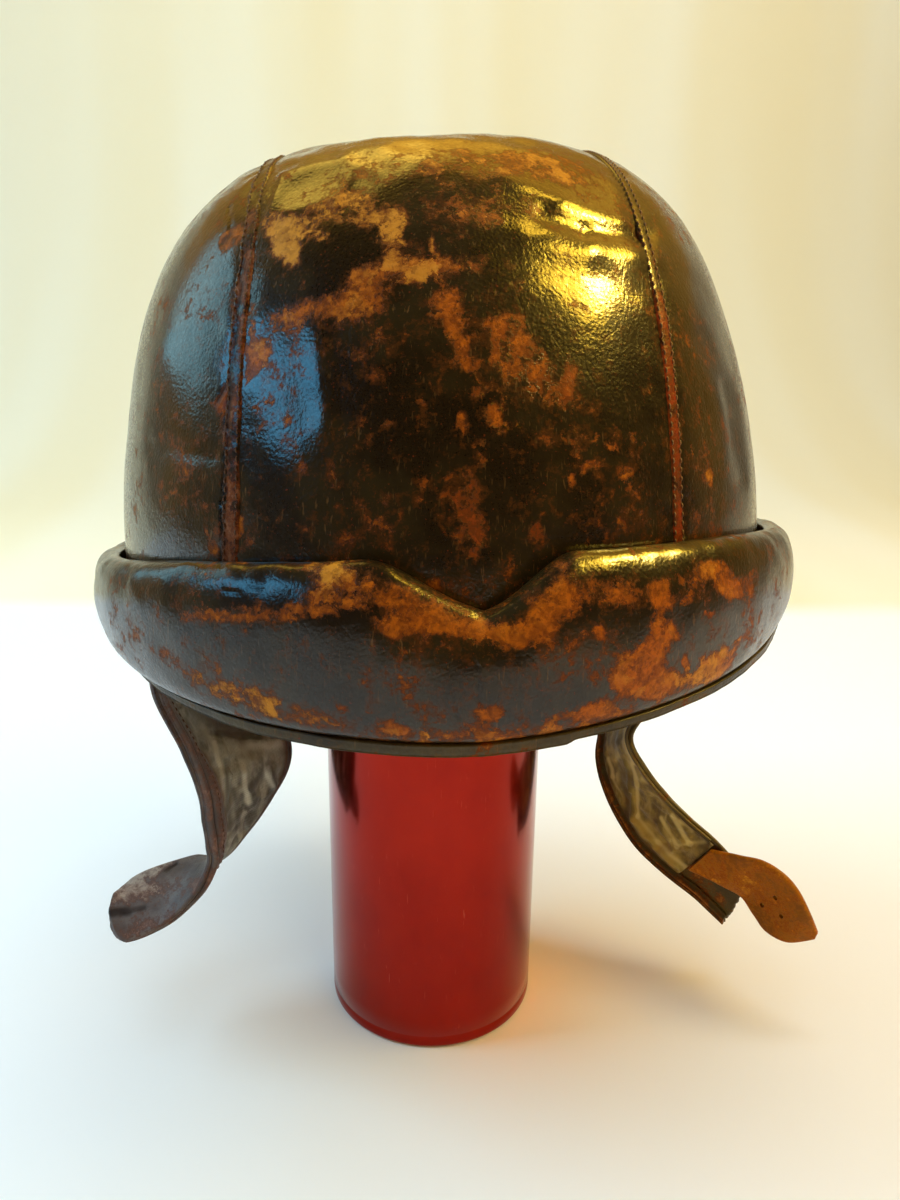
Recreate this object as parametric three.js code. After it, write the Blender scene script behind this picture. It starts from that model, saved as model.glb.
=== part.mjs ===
// A worn leather crash helmet for motorcycling, resting on a plain round stand.
// Millimetres, +Z up, the helmet's front towards -Y. The origin is the middle of the stand's foot.
// Left and right are as seen from the front: left is -X, right is +X.
import * as THREE from 'three';

// The stand is a plain tin cylinder, taller than wide.
const STAND_RADIUS = 40;
const STAND_HEIGHT = 303.5;
const STAND_EDGE = 1.5; // rounding of its two ends
const STAND_SIDES = 48;

// How the helmet rests: its rim's middle over the stand's foot, its right side raised a little.
const HELMET_MIDDLE = { x: 3, y: 0, z: 167 };
const FRONT_RAISED_DEG = 1;
const RIGHT_RAISED_DEG = 2.4;

// The crown is a tall rounded shell of padded leather, its size taken over the leather.
const CROWN_HALF_WIDTH = 107;
const CROWN_FRONT_REACH = 118;
const CROWN_BACK_REACH = 124;
const CROWN_HEIGHT = 147;
const CROWN_WALL = 7;
const PLAN_POWER = 1.95; // 2 is an ellipse seen from above, more is squarer
const FLANK_POWER = 3.8; // more makes the walls stand straighter
const TOP_POWER = 2.1; // more makes the top flatter
const GAP = 0.3; // between pieces that touch on the real helmet

// The rim rises a little over the ears and at the nape, and all that is near it follows.
const RIM_RISE = [
  { turn: 0, rise: 0 },
  { turn: 0.25, rise: 3 },
  { turn: 0.5, rise: 6.5 },
  { turn: 0.75, rise: 5 },
  { turn: 1, rise: 4 },
];
const RIM_RISE_FADES_AT = 70; // height over the rim where the rise is gone

// The middle panel runs from the brow over the top to the nape. Along that way a row gives
// how far its left and its right seam lie from the middle.
const MIDDLE_PANEL = [
  { along: 0, left: 61, right: 56.5 },
  { along: 0.1, left: 60, right: 56 },
  { along: 0.2, left: 57, right: 55.5 },
  { along: 0.27, left: 54, right: 54 },
  { along: 0.34, left: 50, right: 51 },
  { along: 0.5, left: 45, right: 46 },
  { along: 0.75, left: 48, right: 48 },
  { along: 1, left: 50, right: 50 },
];
const PANEL_STEPS_ALONG = 30;
const MIDDLE_PANEL_STEPS_ACROSS = 9;
const SIDE_PANEL_STEPS_DOWN = 8;

const TAU = 2 * Math.PI;
const radians = THREE.MathUtils.degToRad;

// Reads one column of a table between its rows, smoothly.
function readTable(table, key, column, at) {
  const rows = table.length - 1;
  let low = 0;
  while (low < rows - 1 && table[low + 1][key] < at) low += 1;
  const before = table[Math.max(low - 1, 0)];
  const from = table[low];
  const to = table[low + 1];
  const after = table[Math.min(low + 2, rows)];
  const span = to[key] - from[key];
  const share = (at - from[key]) / span;
  const slopeFrom = (to[column] - before[column]) / (to[key] - before[key]);
  const slopeTo = (after[column] - from[column]) / (after[key] - from[key]);
  const s2 = share * share;
  const s3 = s2 * share;
  return (
    from[column] * (2 * s3 - 3 * s2 + 1) +
    slopeFrom * span * (s3 - 2 * s2 + share) +
    to[column] * (3 * s2 - 2 * s3) +
    slopeTo * span * (s3 - s2)
  );
}

// Less than 1 inside a crown made larger all round by `outset`, more than 1 outside it.
function crownLevel(x, y, z, outset) {
  const halfWidth = CROWN_HALF_WIDTH + outset;
  const reach = (y < 0 ? CROWN_FRONT_REACH : CROWN_BACK_REACH) + outset;
  const height = CROWN_HEIGHT + outset;
  const plan = Math.abs(x / halfWidth) ** PLAN_POWER + Math.abs(y / reach) ** PLAN_POWER;
  return plan ** (FLANK_POWER / PLAN_POWER) + Math.abs(z / height) ** TOP_POWER;
}

// The largest number up to `most` for which isInside still holds.
function lastInside(most, isInside) {
  let low = 0;
  let high = most;
  for (let i = 0; i < 40; i += 1) {
    const middle = (low + high) / 2;
    if (isInside(middle)) low = middle;
    else high = middle;
  }
  return low;
}

// The point on the crown in the direction of a point, seen from the middle of the rim.
function ontoCrown(point, outset) {
  const way = point.clone().normalize();
  const inside = (r) => crownLevel(r * way.x, r * way.y, r * way.z, outset) < 1;
  return way.multiplyScalar(lastInside(2 * CROWN_HEIGHT, inside));
}

// The point on the crown x to the side. Along goes from 0 at the brow over the top to 1 at the nape.
function crownPoint(x, along, outset) {
  const forward = -Math.cos(Math.PI * along);
  const up = Math.sin(Math.PI * along);
  const inside = (r) => crownLevel(x, r * forward, r * up, outset) < 1;
  const r = lastInside(2 * CROWN_HEIGHT, inside);
  return new THREE.Vector3(x, r * forward, r * up);
}

// The point of the rim at an angle seen from above, 0 at the brow and growing towards the right.
function rimPoint(turn, outset) {
  return ontoCrown(new THREE.Vector3(Math.sin(turn), -Math.cos(turn), 0), outset);
}

// The point at a turn and a height on the crown's lower part, moved outwards level.
function bandPoint(turn, z, out) {
  const share = (1 - (Math.max(z, 0) / CROWN_HEIGHT) ** TOP_POWER) ** (1 / FLANK_POWER);
  const point = rimPoint(turn, 0).multiplyScalar(share);
  const reach = point.y < 0 ? CROWN_FRONT_REACH : CROWN_BACK_REACH;
  const slope = (length, size) => (Math.sign(length) * Math.abs(length / size) ** (PLAN_POWER - 1)) / size;
  const normal = new THREE.Vector3(slope(point.x, CROWN_HALF_WIDTH), slope(point.y, reach), 0).normalize();
  return point.addScaledVector(normal, out).setZ(z);
}

// Lifts a point near the rim as the rim rises there.
function raised(point) {
  const turn = Math.atan2(Math.abs(point.x), -point.y) / Math.PI;
  const fade = THREE.MathUtils.clamp(1 - point.z / RIM_RISE_FADES_AT, 0, 1);
  point.z += readTable(RIM_RISE, 'turn', 'rise', turn) * Math.min(fade * fade * (3 - 2 * fade), 1);
  return point;
}

// How far a seam lies to the side, negative on the left.
function seamAt(side, along) {
  return side * readTable(MIDDLE_PANEL, 'along', side < 0 ? 'left' : 'right', along);
}

// A closed body between an outer and an inner grid of points of the same size.
// Rows may shrink to one point.
function shellBody(outer, inner) {
  const positions = [];
  const numbers = new Map();
  const triangles = [];
  const number = (p) => {
    const key = `${p.x.toFixed(3)},${p.y.toFixed(3)},${p.z.toFixed(3)}`;
    if (!numbers.has(key)) {
      numbers.set(key, positions.length / 3);
      positions.push(p.x, p.y, p.z);
    }
    return numbers.get(key);
  };
  const triangle = (a, b, c) => {
    const [i, j, k] = [number(a), number(b), number(c)];
    if (i !== j && j !== k && k !== i) triangles.push(i, k, j);
  };
  const quad = (a, b, c, d) => {
    triangle(a, b, c);
    triangle(a, c, d);
  };
  const lastRow = outer.length - 1;
  const lastColumn = outer[0].length - 1;
  for (let i = 0; i < lastRow; i += 1) {
    const n = i + 1;
    for (let j = 0; j < lastColumn; j += 1) {
      quad(outer[i][j], outer[n][j], outer[n][j + 1], outer[i][j + 1]);
      quad(inner[i][j + 1], inner[n][j + 1], inner[n][j], inner[i][j]);
    }
    quad(inner[i][0], inner[n][0], outer[n][0], outer[i][0]);
    quad(outer[i][lastColumn], outer[n][lastColumn], inner[n][lastColumn], inner[i][lastColumn]);
  }
  for (let j = 0; j < lastColumn; j += 1) {
    quad(inner[0][j], outer[0][j], outer[0][j + 1], inner[0][j + 1]);
    quad(outer[lastRow][j], inner[lastRow][j], inner[lastRow][j + 1], outer[lastRow][j + 1]);
  }
  return new THREE.BufferGeometry()
    .setAttribute('position', new THREE.Float32BufferAttribute(positions, 3))
    .setIndex(triangles);
}

// A closed ring: one section of points for each turn around the helmet.
function ringBody(sections) {
  const positions = [];
  const triangles = [];
  const around = sections[0].length;
  for (const section of sections) for (const p of section) positions.push(p.x, p.y, p.z);
  for (let i = 0; i < sections.length; i += 1) {
    const n = (i + 1) % sections.length;
    for (let j = 0; j < around; j += 1) {
      const k = (j + 1) % around;
      const [a, b, c, d] = [i * around + j, n * around + j, n * around + k, i * around + k];
      triangles.push(a, c, b, a, d, c);
    }
  }
  return new THREE.BufferGeometry()
    .setAttribute('position', new THREE.Float32BufferAttribute(positions, 3))
    .setIndex(triangles);
}

function grid(rows, columns, point) {
  return Array.from({ length: rows + 1 }, (_, i) =>
    Array.from({ length: columns + 1 }, (__, j) => point(i / rows, j / columns)),
  );
}

function makeMiddlePanel() {
  const surface = (outset) =>
    grid(PANEL_STEPS_ALONG, MIDDLE_PANEL_STEPS_ACROSS, (along, across) => {
      const left = seamAt(-1, along) + GAP / 2;
      const right = seamAt(1, along) - GAP / 2;
      const x = THREE.MathUtils.lerp(left, right, across);
      return raised(ontoCrown(crownPoint(x, along, 0), outset));
    });
  return shellBody(surface(0), surface(-CROWN_WALL));
}

// side is -1 for the left panel and 1 for the right one.
function makeSidePanel(side) {
  const seam = (along) => crownPoint(seamAt(side, along) + (side * GAP) / 2, along, 0);
  const turnOf = (p) => Math.atan2(Math.abs(p.x), -p.y);
  const firstTurn = turnOf(seam(0));
  const lastTurn = turnOf(seam(1));
  const surface = (outset) =>
    grid(PANEL_STEPS_ALONG, SIDE_PANEL_STEPS_DOWN, (along, down) => {
      const turn = THREE.MathUtils.lerp(firstTurn, lastTurn, along);
      const point = seam(along).lerp(rimPoint(side * turn, 0), down);
      return raised(ontoCrown(point, outset));
    });
  const outer = surface(0);
  const inner = surface(-CROWN_WALL);
  return side > 0 ? shellBody(outer, inner) : shellBody(inner, outer);
}

// The brow roll, a padded leather band around the crown's foot. A row is one point of its section:
// out is millimetres off the crown, up is a share of the roll's height there.
const ROLL_SECTION = [
  { out: 0.7, up: 0.0 },
  { out: 0.7, up: 0.45 },
  { out: 2.2, up: 0.65 },
  { out: 2.4, up: 0.9 },
  { out: 3.6, up: 0.975 },
  { out: 5.5, up: 1.0 },
  { out: 7.8, up: 0.96 },
  { out: 9.8, up: 0.85 },
  { out: 11.1, up: 0.64 },
  { out: 11.2, up: 0.38 },
  { out: 9.9, up: 0.13 },
  { out: 7.2, up: 0.0 },
];
const ROLL_LIP = 2.5; // out to here the section keeps its shape all round
// Around the helmet the roll grows lower, and bulges less, towards the back.
const ROLL = [
  { turn: 0, height: 46, bulge: 1 },
  { turn: 0.2, height: 39, bulge: 1 },
  { turn: 0.35, height: 28.5, bulge: 0.95 },
  { turn: 0.42, height: 23.5, bulge: 0.87 },
  { turn: 0.5, height: 18.5, bulge: 0.8 },
  { turn: 0.65, height: 16, bulge: 0.8 },
  { turn: 1, height: 17, bulge: 0.8 },
];
// The notch over the nose: how deep its tip is, where it is, and how far each flank reaches.
const NOTCH = { depth: 12.5, x: 2.5, leftReach: 27, rightReach: 23 };
const TURN_STEPS = 60; // sections of the roll and the rim, closer together at the brow
const TURN_CROWDING = 0.45;

function turns() {
  return Array.from({ length: TURN_STEPS }, (_, i) => {
    const even = (TAU * i) / TURN_STEPS;
    return even - TURN_CROWDING * Math.sin(even);
  });
}

// How far the roll's top dips at a distance from the notch's tip.
function notchDip(fromTip) {
  const reach = fromTip < 0 ? NOTCH.leftReach : NOTCH.rightReach;
  return NOTCH.depth * (1 - THREE.MathUtils.smoothstep(Math.abs(fromTip), 0, reach));
}

// The roll's section at a turn seen from above.
function rollSection(turn) {
  const share = Math.abs(Math.atan2(Math.sin(turn), Math.cos(turn))) / Math.PI;
  const dip = Math.cos(turn) > 0 ? notchDip(rimPoint(turn, 0).x - NOTCH.x) : 0;
  const height = readTable(ROLL, 'turn', 'height', share) - dip;
  const bulge = readTable(ROLL, 'turn', 'bulge', share);
  return ROLL_SECTION.map(({ out, up }) => {
    const grown = out > ROLL_LIP ? ROLL_LIP + (out - ROLL_LIP) * bulge : out;
    return raised(bandPoint(turn, up * height, grown));
  });
}

function makeBrowRoll() {
  return ringBody(turns().map(rollSection));
}

// The binding under the rim: a flat band that closes the crown and the roll from below.
const RIM_SECTION = [
  { out: -7.2, up: -0.8 },
  { out: -6.6, up: -0.3 },
  { out: 6.6, up: -0.3 },
  { out: 7.6, up: -1.1 },
  { out: 7.4, up: -2.4 },
  { out: 6.6, up: -2.9 },
  { out: -6.6, up: -2.9 },
  { out: -7.2, up: -2.4 },
];

function makeRimBinding() {
  const section = (turn) => RIM_SECTION.map(({ out, up }) => raised(bandPoint(turn, up, out)));
  return ringBody(turns().map(section));
}

// A thin leather strip covers each seam beside the middle panel, down to the roll's lip.
const STRIP = { width: 4, thickness: 0.9, gap: 0.5, foot: 26, steps: 34 };

// Where along a seam its height over the rim is z, looked for from the brow (end 0) or the nape (end 1).
function alongAtHeight(side, end, z) {
  const step = end === 0 ? 1 : -1;
  const below = (way) => {
    const along = end + step * way;
    return crownPoint(seamAt(side, along), along, 0).z < z;
  };
  return end + step * lastInside(0.5, below);
}

function makeSeamStrip(side) {
  const first = alongAtHeight(side, 0, STRIP.foot);
  const last = alongAtHeight(side, 1, STRIP.foot);
  const surface = (outset) =>
    grid(STRIP.steps, 1, (share, across) => {
      const along = THREE.MathUtils.lerp(first, last, share);
      const x = seamAt(side, along) + side * (across - 0.5) * STRIP.width;
      return raised(ontoCrown(crownPoint(x, along, 0), outset));
    });
  const outer = surface(STRIP.gap + STRIP.thickness);
  const inner = surface(STRIP.gap);
  return side > 0 ? shellBody(outer, inner) : shellBody(inner, outer);
}

// The ear flaps are leather outside and cloth inside, sewn to the crown's inner wall.
// Above the rim a flap follows that wall, between two turns seen from above.
const FLAP_ROOTS = {
  heights: [30, 13, -4],
  wallGap: 0.8,
  left: { front: 0.355, rear: 0.655 },
  right: { front: 0.37, rear: 0.68 },
};
const FLAP_LEATHER = 2;
const FLAP_LINING = 1;
const LAYER_GAP = 0.9; // between the leather and what lies on its inner face
const FLAP_HEM = { width: 6, thickness: 1.4, depth: 3.1 };
const FLAP_STEP = 0.5; // of a row
const CHIN_TAB = 2.4; // thickness

// Below the rim a row gives a flap's two edges as it hangs, from the rim down to its torn end.
// Bow is how far its middle stands out sideways. The left flap's end curls outwards and turns over.
const LEFT_FLAP = [
  { frontX: -94, frontY: -40, frontZ: 148, rearX: -85, rearY: 42, rearZ: 144, bow: 9 },
  { frontX: -88, frontY: -34, frontZ: 123, rearX: -69, rearY: 32, rearZ: 119, bow: 6 },
  { frontX: -85, frontY: -27, frontZ: 104, rearX: -57, rearY: 20, rearZ: 97, bow: 3 },
  { frontX: -85, frontY: -22, frontZ: 88, rearX: -64, rearY: 10, rearZ: 82, bow: 1 },
  { frontX: -85, frontY: -20, frontZ: 77, rearX: -76, rearY: 1, rearZ: 69, bow: 0 },
  { frontX: -85, frontY: -20, frontZ: 70, rearX: -84, rearY: -2, rearZ: 63, bow: 0 },
  { frontX: -89, frontY: -24, frontZ: 61, rearX: -92, rearY: -2, rearZ: 63, bow: 0 },
  { frontX: -100, frontY: -27, frontZ: 50, rearX: -104, rearY: -6, rearZ: 62, bow: 0 },
  { frontX: -114, frontY: -30, frontZ: 46, rearX: -114, rearY: -9, rearZ: 60, bow: 0 },
  { frontX: -121, frontY: -28, frontZ: 50, rearX: -121, rearY: -12, rearZ: 57, bow: 0 },
];
const RIGHT_FLAP = [
  { frontX: 92, frontY: -30, frontZ: 148, rearX: 87, rearY: 50, rearZ: 140, bow: 8 },
  { frontX: 85, frontY: -12, frontZ: 128, rearX: 81, rearY: 46, rearZ: 114, bow: 5 },
  { frontX: 78, frontY: 1, frontZ: 108, rearX: 77, rearY: 40, rearZ: 88, bow: 3 },
  { frontX: 85, frontY: 4, frontZ: 93, rearX: 76, rearY: 36, rearZ: 76, bow: 2 },
  { frontX: 95, frontY: 3, frontZ: 81, rearX: 80, rearY: 29, rearZ: 63, bow: 1 },
  { frontX: 104, frontY: 0, frontZ: 72, rearX: 88, rearY: 21, rearZ: 50, bow: 0 },
  { frontX: 112, frontY: -5, frontZ: 66, rearX: 100, rearY: 12, rearZ: 40, bow: 0 },
  { frontX: 118, frontY: -10, frontZ: 61, rearX: 112, rearY: 4, rearZ: 33, bow: 0 },
  { frontX: 125, frontY: -13, frontZ: 53, rearX: 125, rearY: -2, rearZ: 22, bow: 0 },
];
// The chin tab starts on the right flap's inner face, where the lining ends. Then a row gives its two edges.
const TAB_START = { along: 9.3, upper: 0.06, lower: 0.6 };
const TAB = [
  { upperX: 117, upperY: -18, upperZ: 63, lowerX: 119, lowerY: -9, lowerZ: 44 },
  { upperX: 124, upperY: -22, upperZ: 66, lowerX: 125, lowerY: -12, lowerZ: 39 },
  { upperX: 130, upperY: -27, upperZ: 64, lowerX: 131, lowerY: -17, lowerZ: 33 },
  { upperX: 136, upperY: -31, upperZ: 59, lowerX: 135, lowerY: -22, lowerZ: 30 },
  { upperX: 141, upperY: -34, upperZ: 51, lowerX: 141, lowerY: -28, lowerZ: 32 },
  { upperX: 146, upperY: -34, upperZ: 41, lowerX: 145, lowerY: -33, lowerZ: 38 },
];

const helmet = new THREE.Group();
helmet.position.set(HELMET_MIDDLE.x, HELMET_MIDDLE.y, HELMET_MIDDLE.z);
helmet.rotation.set(-radians(FRONT_RAISED_DEG), -radians(RIGHT_RAISED_DEG), 0);
helmet.updateMatrix();

// Blends smoothly through a list of points, one step of `at` for each.
function throughPoints(points, at) {
  const low = THREE.MathUtils.clamp(Math.floor(at), 0, points.length - 2);
  const s = at - low;
  const before = points[Math.max(low - 1, 0)];
  const after = points[Math.min(low + 2, points.length - 1)];
  const [from, to] = [points[low], points[low + 1]];
  const blend = (a, b, c, d) =>
    b + 0.5 * s * (c - a + s * (2 * a - 5 * b + 4 * c - d + s * (3 * (b - c) + d - a)));
  return new THREE.Vector3(
    blend(before.x, from.x, to.x, after.x),
    blend(before.y, from.y, to.y, after.y),
    blend(before.z, from.z, to.z, after.z),
  );
}

function betweenEdges(row, first, second, across) {
  const a = new THREE.Vector3(row[`${first}X`], row[`${first}Y`], row[`${first}Z`]);
  const b = new THREE.Vector3(row[`${second}X`], row[`${second}Y`], row[`${second}Z`]);
  return a.lerp(b, across);
}

// A flap's outer face. Along counts its rows from the root down, across goes from its front to its rear edge.
function flapFace(side, along, across) {
  const root = side < 0 ? FLAP_ROOTS.left : FLAP_ROOTS.right;
  const turn = side * Math.PI * THREE.MathUtils.lerp(root.front, root.rear, across);
  const onWall = FLAP_ROOTS.heights.map((z) => {
    const wall = bandPoint(turn, z, -CROWN_WALL - FLAP_ROOTS.wallGap);
    return raised(wall).applyMatrix4(helmet.matrix);
  });
  const hanging = (side < 0 ? LEFT_FLAP : RIGHT_FLAP).map((row) => {
    const point = betweenEdges(row, 'front', 'rear', across);
    point.x += side * row.bow * 4 * across * (1 - across);
    return point;
  });
  return throughPoints([...onWall, ...hanging], along);
}

// The same face moved inwards, square to itself.
function flapPoint(side, along, across, inwards) {
  const step = 0.01;
  const down = flapFace(side, along + step, across).sub(flapFace(side, along - step, across));
  const back = flapFace(side, along, across + step).sub(flapFace(side, along, across - step));
  const normal = down.cross(back).normalize().multiplyScalar(-side);
  return flapFace(side, along, across).addScaledVector(normal, inwards);
}

// The places along a flap where its layers bend, the same in each layer so that they lie flat together.
function flapSteps(from, to) {
  const places = [from];
  for (let at = Math.floor(from / FLAP_STEP + 1) * FLAP_STEP; at < to; at += FLAP_STEP) places.push(at);
  return [...places, to];
}

// A layer of a flap: the rows and the shares of the width that it covers, its depth and its thickness.
function makeFlapLayer(side, { from, to, shares, depth, thickness }) {
  const places = flapSteps(from, to);
  const surface = (inwards) =>
    places.map((along) => {
      const width = flapFace(side, along, 0).distanceTo(flapFace(side, along, 1));
      return shares(width).map((across) => flapPoint(side, along, across, inwards));
    });
  const outer = surface(depth);
  const inner = surface(depth + thickness);
  return side > 0 ? shellBody(inner, outer) : shellBody(outer, inner);
}

const flapEnd = (side) => FLAP_ROOTS.heights.length + (side < 0 ? LEFT_FLAP : RIGHT_FLAP).length - 1;

// Shares of a flap's width between its two hems, each `gap` millimetres clear of them.
function betweenHems(width, gap) {
  const edge = (FLAP_HEM.width + gap) / width;
  return [0, 0.2, 0.4, 0.6, 0.8, 1].map((share) => THREE.MathUtils.lerp(edge, 1 - edge, share));
}

function makeFlapLeather(side) {
  const shares = (width) => [0, ...betweenHems(width, 0), 1];
  return makeFlapLayer(side, { from: 0, to: flapEnd(side), shares, depth: 0, thickness: FLAP_LEATHER });
}

function makeFlapLining(side) {
  const to = side < 0 ? flapEnd(side) - 1.5 : TAB_START.along - 0.1;
  const shares = (width) => betweenHems(width, 2 * GAP);
  const depth = FLAP_LEATHER + LAYER_GAP;
  return makeFlapLayer(side, { from: 0.5, to, shares, depth, thickness: FLAP_LINING });
}

function makeFlapHem(side, edge) {
  const to = side > 0 && edge === 'front' ? TAB_START.along - 0.1 : flapEnd(side) - 0.1;
  const shares = (width) => {
    const share = FLAP_HEM.width / width;
    const trim = GAP / width;
    return edge === 'front' ? [trim, share] : [1 - share, 1 - trim];
  };
  const { depth, thickness } = FLAP_HEM;
  return makeFlapLayer(side, { from: 2.5, to, shares, depth, thickness });
}

// The tab's face towards the flap, from its start on the flap's lining side to its tip.
function tabFace(along, across) {
  const start = THREE.MathUtils.lerp(TAB_START.upper, TAB_START.lower, across);
  const rows = [
    flapPoint(1, TAB_START.along, start, FLAP_LEATHER + LAYER_GAP),
    ...TAB.map((row) => betweenEdges(row, 'upper', 'lower', across)),
  ];
  return throughPoints(rows, along);
}

function makeChinTab() {
  const surface = (inwards) =>
    grid(2 * TAB.length, 4, (share, across) => {
      const along = share * TAB.length;
      const step = 0.01;
      const down = tabFace(along + step, across).sub(tabFace(along - step, across));
      const back = tabFace(along, across + step).sub(tabFace(along, across - step));
      const normal = down.cross(back).normalize();
      return tabFace(along, across).addScaledVector(normal, -inwards);
    });
  return shellBody(surface(CHIN_TAB), surface(0));
}

function makeStand() {
  const r = STAND_RADIUS;
  const e = STAND_EDGE;
  const profile = [
    new THREE.Vector2(0, 0),
    new THREE.Vector2(r - e, 0),
    new THREE.Vector2(r, e),
    new THREE.Vector2(r, STAND_HEIGHT - e),
    new THREE.Vector2(r - e, STAND_HEIGHT),
    new THREE.Vector2(0, STAND_HEIGHT),
  ];
  return new THREE.LatheGeometry(profile, STAND_SIDES).rotateX(Math.PI / 2);
}

const leather = new THREE.MeshStandardMaterial({ color: 0x2a1c12, roughness: 0.4, metalness: 0 });
const wornLeather = new THREE.MeshStandardMaterial({ color: 0x7a4a22, roughness: 0.6, metalness: 0 });
const cloth = new THREE.MeshStandardMaterial({ color: 0x6e6a52, roughness: 0.9, metalness: 0 });
const redTin = new THREE.MeshStandardMaterial({ color: 0x9a1a1c, roughness: 0.3, metalness: 0.6 });

function named(name, geometry, material) {
  const mesh = new THREE.Mesh(geometry, material);
  mesh.name = name;
  return mesh;
}

helmet.add(
  named('crown_middle_panel', makeMiddlePanel(), leather),
  named('crown_left_panel', makeSidePanel(-1), leather),
  named('crown_right_panel', makeSidePanel(1), leather),
  named('seam_strip_left', makeSeamStrip(-1), wornLeather),
  named('seam_strip_right', makeSeamStrip(1), wornLeather),
  named('brow_roll', makeBrowRoll(), leather),
  named('rim_binding', makeRimBinding(), leather),
);

const part = new THREE.Group();
part.add(
  helmet,
  named('ear_flap_left', makeFlapLeather(-1), leather),
  named('ear_lining_left', makeFlapLining(-1), cloth),
  named('ear_hem_left_front', makeFlapHem(-1, 'front'), leather),
  named('ear_hem_left_rear', makeFlapHem(-1, 'rear'), leather),
  named('ear_flap_right', makeFlapLeather(1), leather),
  named('ear_lining_right', makeFlapLining(1), cloth),
  named('ear_hem_right_front', makeFlapHem(1, 'front'), leather),
  named('ear_hem_right_rear', makeFlapHem(1, 'rear'), leather),
  named('chin_tab', makeChinTab(), wornLeather),
  named('stand', makeStand(), redTin),
);

export default part;
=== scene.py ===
"""The looks of a worn leather motorcycle helmet on its red stand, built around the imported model.

Sizes are in millimetres in the tables and in metres on the meshes. +Z is up, the helmet's front is -Y,
and left and right are as seen from the front: left is -X.
"""

import math

import bmesh
import bpy
import numpy as np
from mathutils import Matrix, Vector, noise


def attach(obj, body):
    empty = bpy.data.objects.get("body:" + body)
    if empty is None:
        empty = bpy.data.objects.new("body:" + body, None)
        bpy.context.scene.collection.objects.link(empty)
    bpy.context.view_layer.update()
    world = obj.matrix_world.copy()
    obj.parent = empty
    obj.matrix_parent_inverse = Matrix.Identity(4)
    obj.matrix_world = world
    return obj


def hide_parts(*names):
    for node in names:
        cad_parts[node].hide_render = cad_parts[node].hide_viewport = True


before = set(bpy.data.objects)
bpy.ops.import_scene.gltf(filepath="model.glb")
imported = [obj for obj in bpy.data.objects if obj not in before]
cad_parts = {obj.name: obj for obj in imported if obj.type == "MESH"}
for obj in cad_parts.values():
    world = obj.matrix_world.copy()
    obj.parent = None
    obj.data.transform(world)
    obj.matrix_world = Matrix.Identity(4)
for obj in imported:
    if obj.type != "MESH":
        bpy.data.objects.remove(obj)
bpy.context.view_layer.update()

MM = 0.001
UP = np.array([0.0, 0.0, 1.0])

# The photograph's camera
PHOTO = {"width": 900, "height": 1200, "focal_px": 971}
CAMERA = {
    "pitch_deg": 18.0,
    "roll_deg": 0.8,
    "azimuth_deg": -4.5,
    "reach": 335.8,  # level distance from the stand's axis
    "height": 273.7,
    "aside": 5.6,
}
SENSOR = 36.0


def camera_frame():
    """The camera's place and its right, up and forward directions."""
    azimuth, pitch, roll = (math.radians(CAMERA[k]) for k in ("azimuth_deg", "pitch_deg", "roll_deg"))
    level = np.array([-math.sin(azimuth), math.cos(azimuth), 0.0])
    aside = np.array([math.cos(azimuth), math.sin(azimuth), 0.0])
    place = -CAMERA["reach"] * level + CAMERA["aside"] * aside + CAMERA["height"] * UP
    forward = level * math.cos(pitch) - UP * math.sin(pitch)
    up = UP * math.cos(pitch) + level * math.sin(pitch)
    right = aside * math.cos(roll) + up * math.sin(roll)
    up = up * math.cos(roll) - aside * math.sin(roll)
    return place, right, up, forward


EYE, EYE_RIGHT, EYE_UP, EYE_FORWARD = camera_frame()


def photo_place(points):
    """Where points lie in the photograph, in its pixels."""
    way = points - EYE
    depth = way @ EYE_FORWARD
    x = PHOTO["width"] / 2 + PHOTO["focal_px"] * (way @ EYE_RIGHT) / depth
    y = PHOTO["height"] / 2 - PHOTO["focal_px"] * (way @ EYE_UP) / depth
    return x, y


def make_camera():
    data = bpy.data.cameras.new("camera")
    data.sensor_width = SENSOR
    data.lens = SENSOR * PHOTO["focal_px"] / PHOTO["height"]
    data.clip_start = 0.01
    camera = bpy.data.objects.new("camera", data)
    axes = np.stack([EYE_RIGHT, EYE_UP, -EYE_FORWARD], axis=1)
    camera.matrix_world = Matrix.Translation(Vector(EYE * MM)) @ Matrix(axes.tolist()).to_4x4()
    bpy.context.scene.collection.objects.link(camera)
    bpy.context.scene.camera = camera


make_camera()


# Small helpers
def table(columns, *rows):
    """Rows of values under named columns."""
    return [dict(zip(columns.split(), row)) for row in rows]


def smooth(low, high, value):
    share = np.clip((value - low) / (high - low), 0, 1)
    return share * share * (3 - 2 * share)


def unit(vectors):
    return vectors / np.maximum(np.linalg.norm(vectors, axis=-1, keepdims=True), 1e-9)


def rumple(points, size, seed):
    """Smooth noise from about -1 to 1 whose bumps are `size` across."""
    spots = points.reshape(-1, 3) / size + 17.3 * seed
    return np.array([noise.noise(p) for p in spots.tolist()]).reshape(points.shape[:-1])


def layered(points, *layers):
    """Soft lumps: layers of noise, each given as its height, its size and its seed."""
    return sum(height * rumple(points, size, seed) for height, size, seed in layers)


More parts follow.
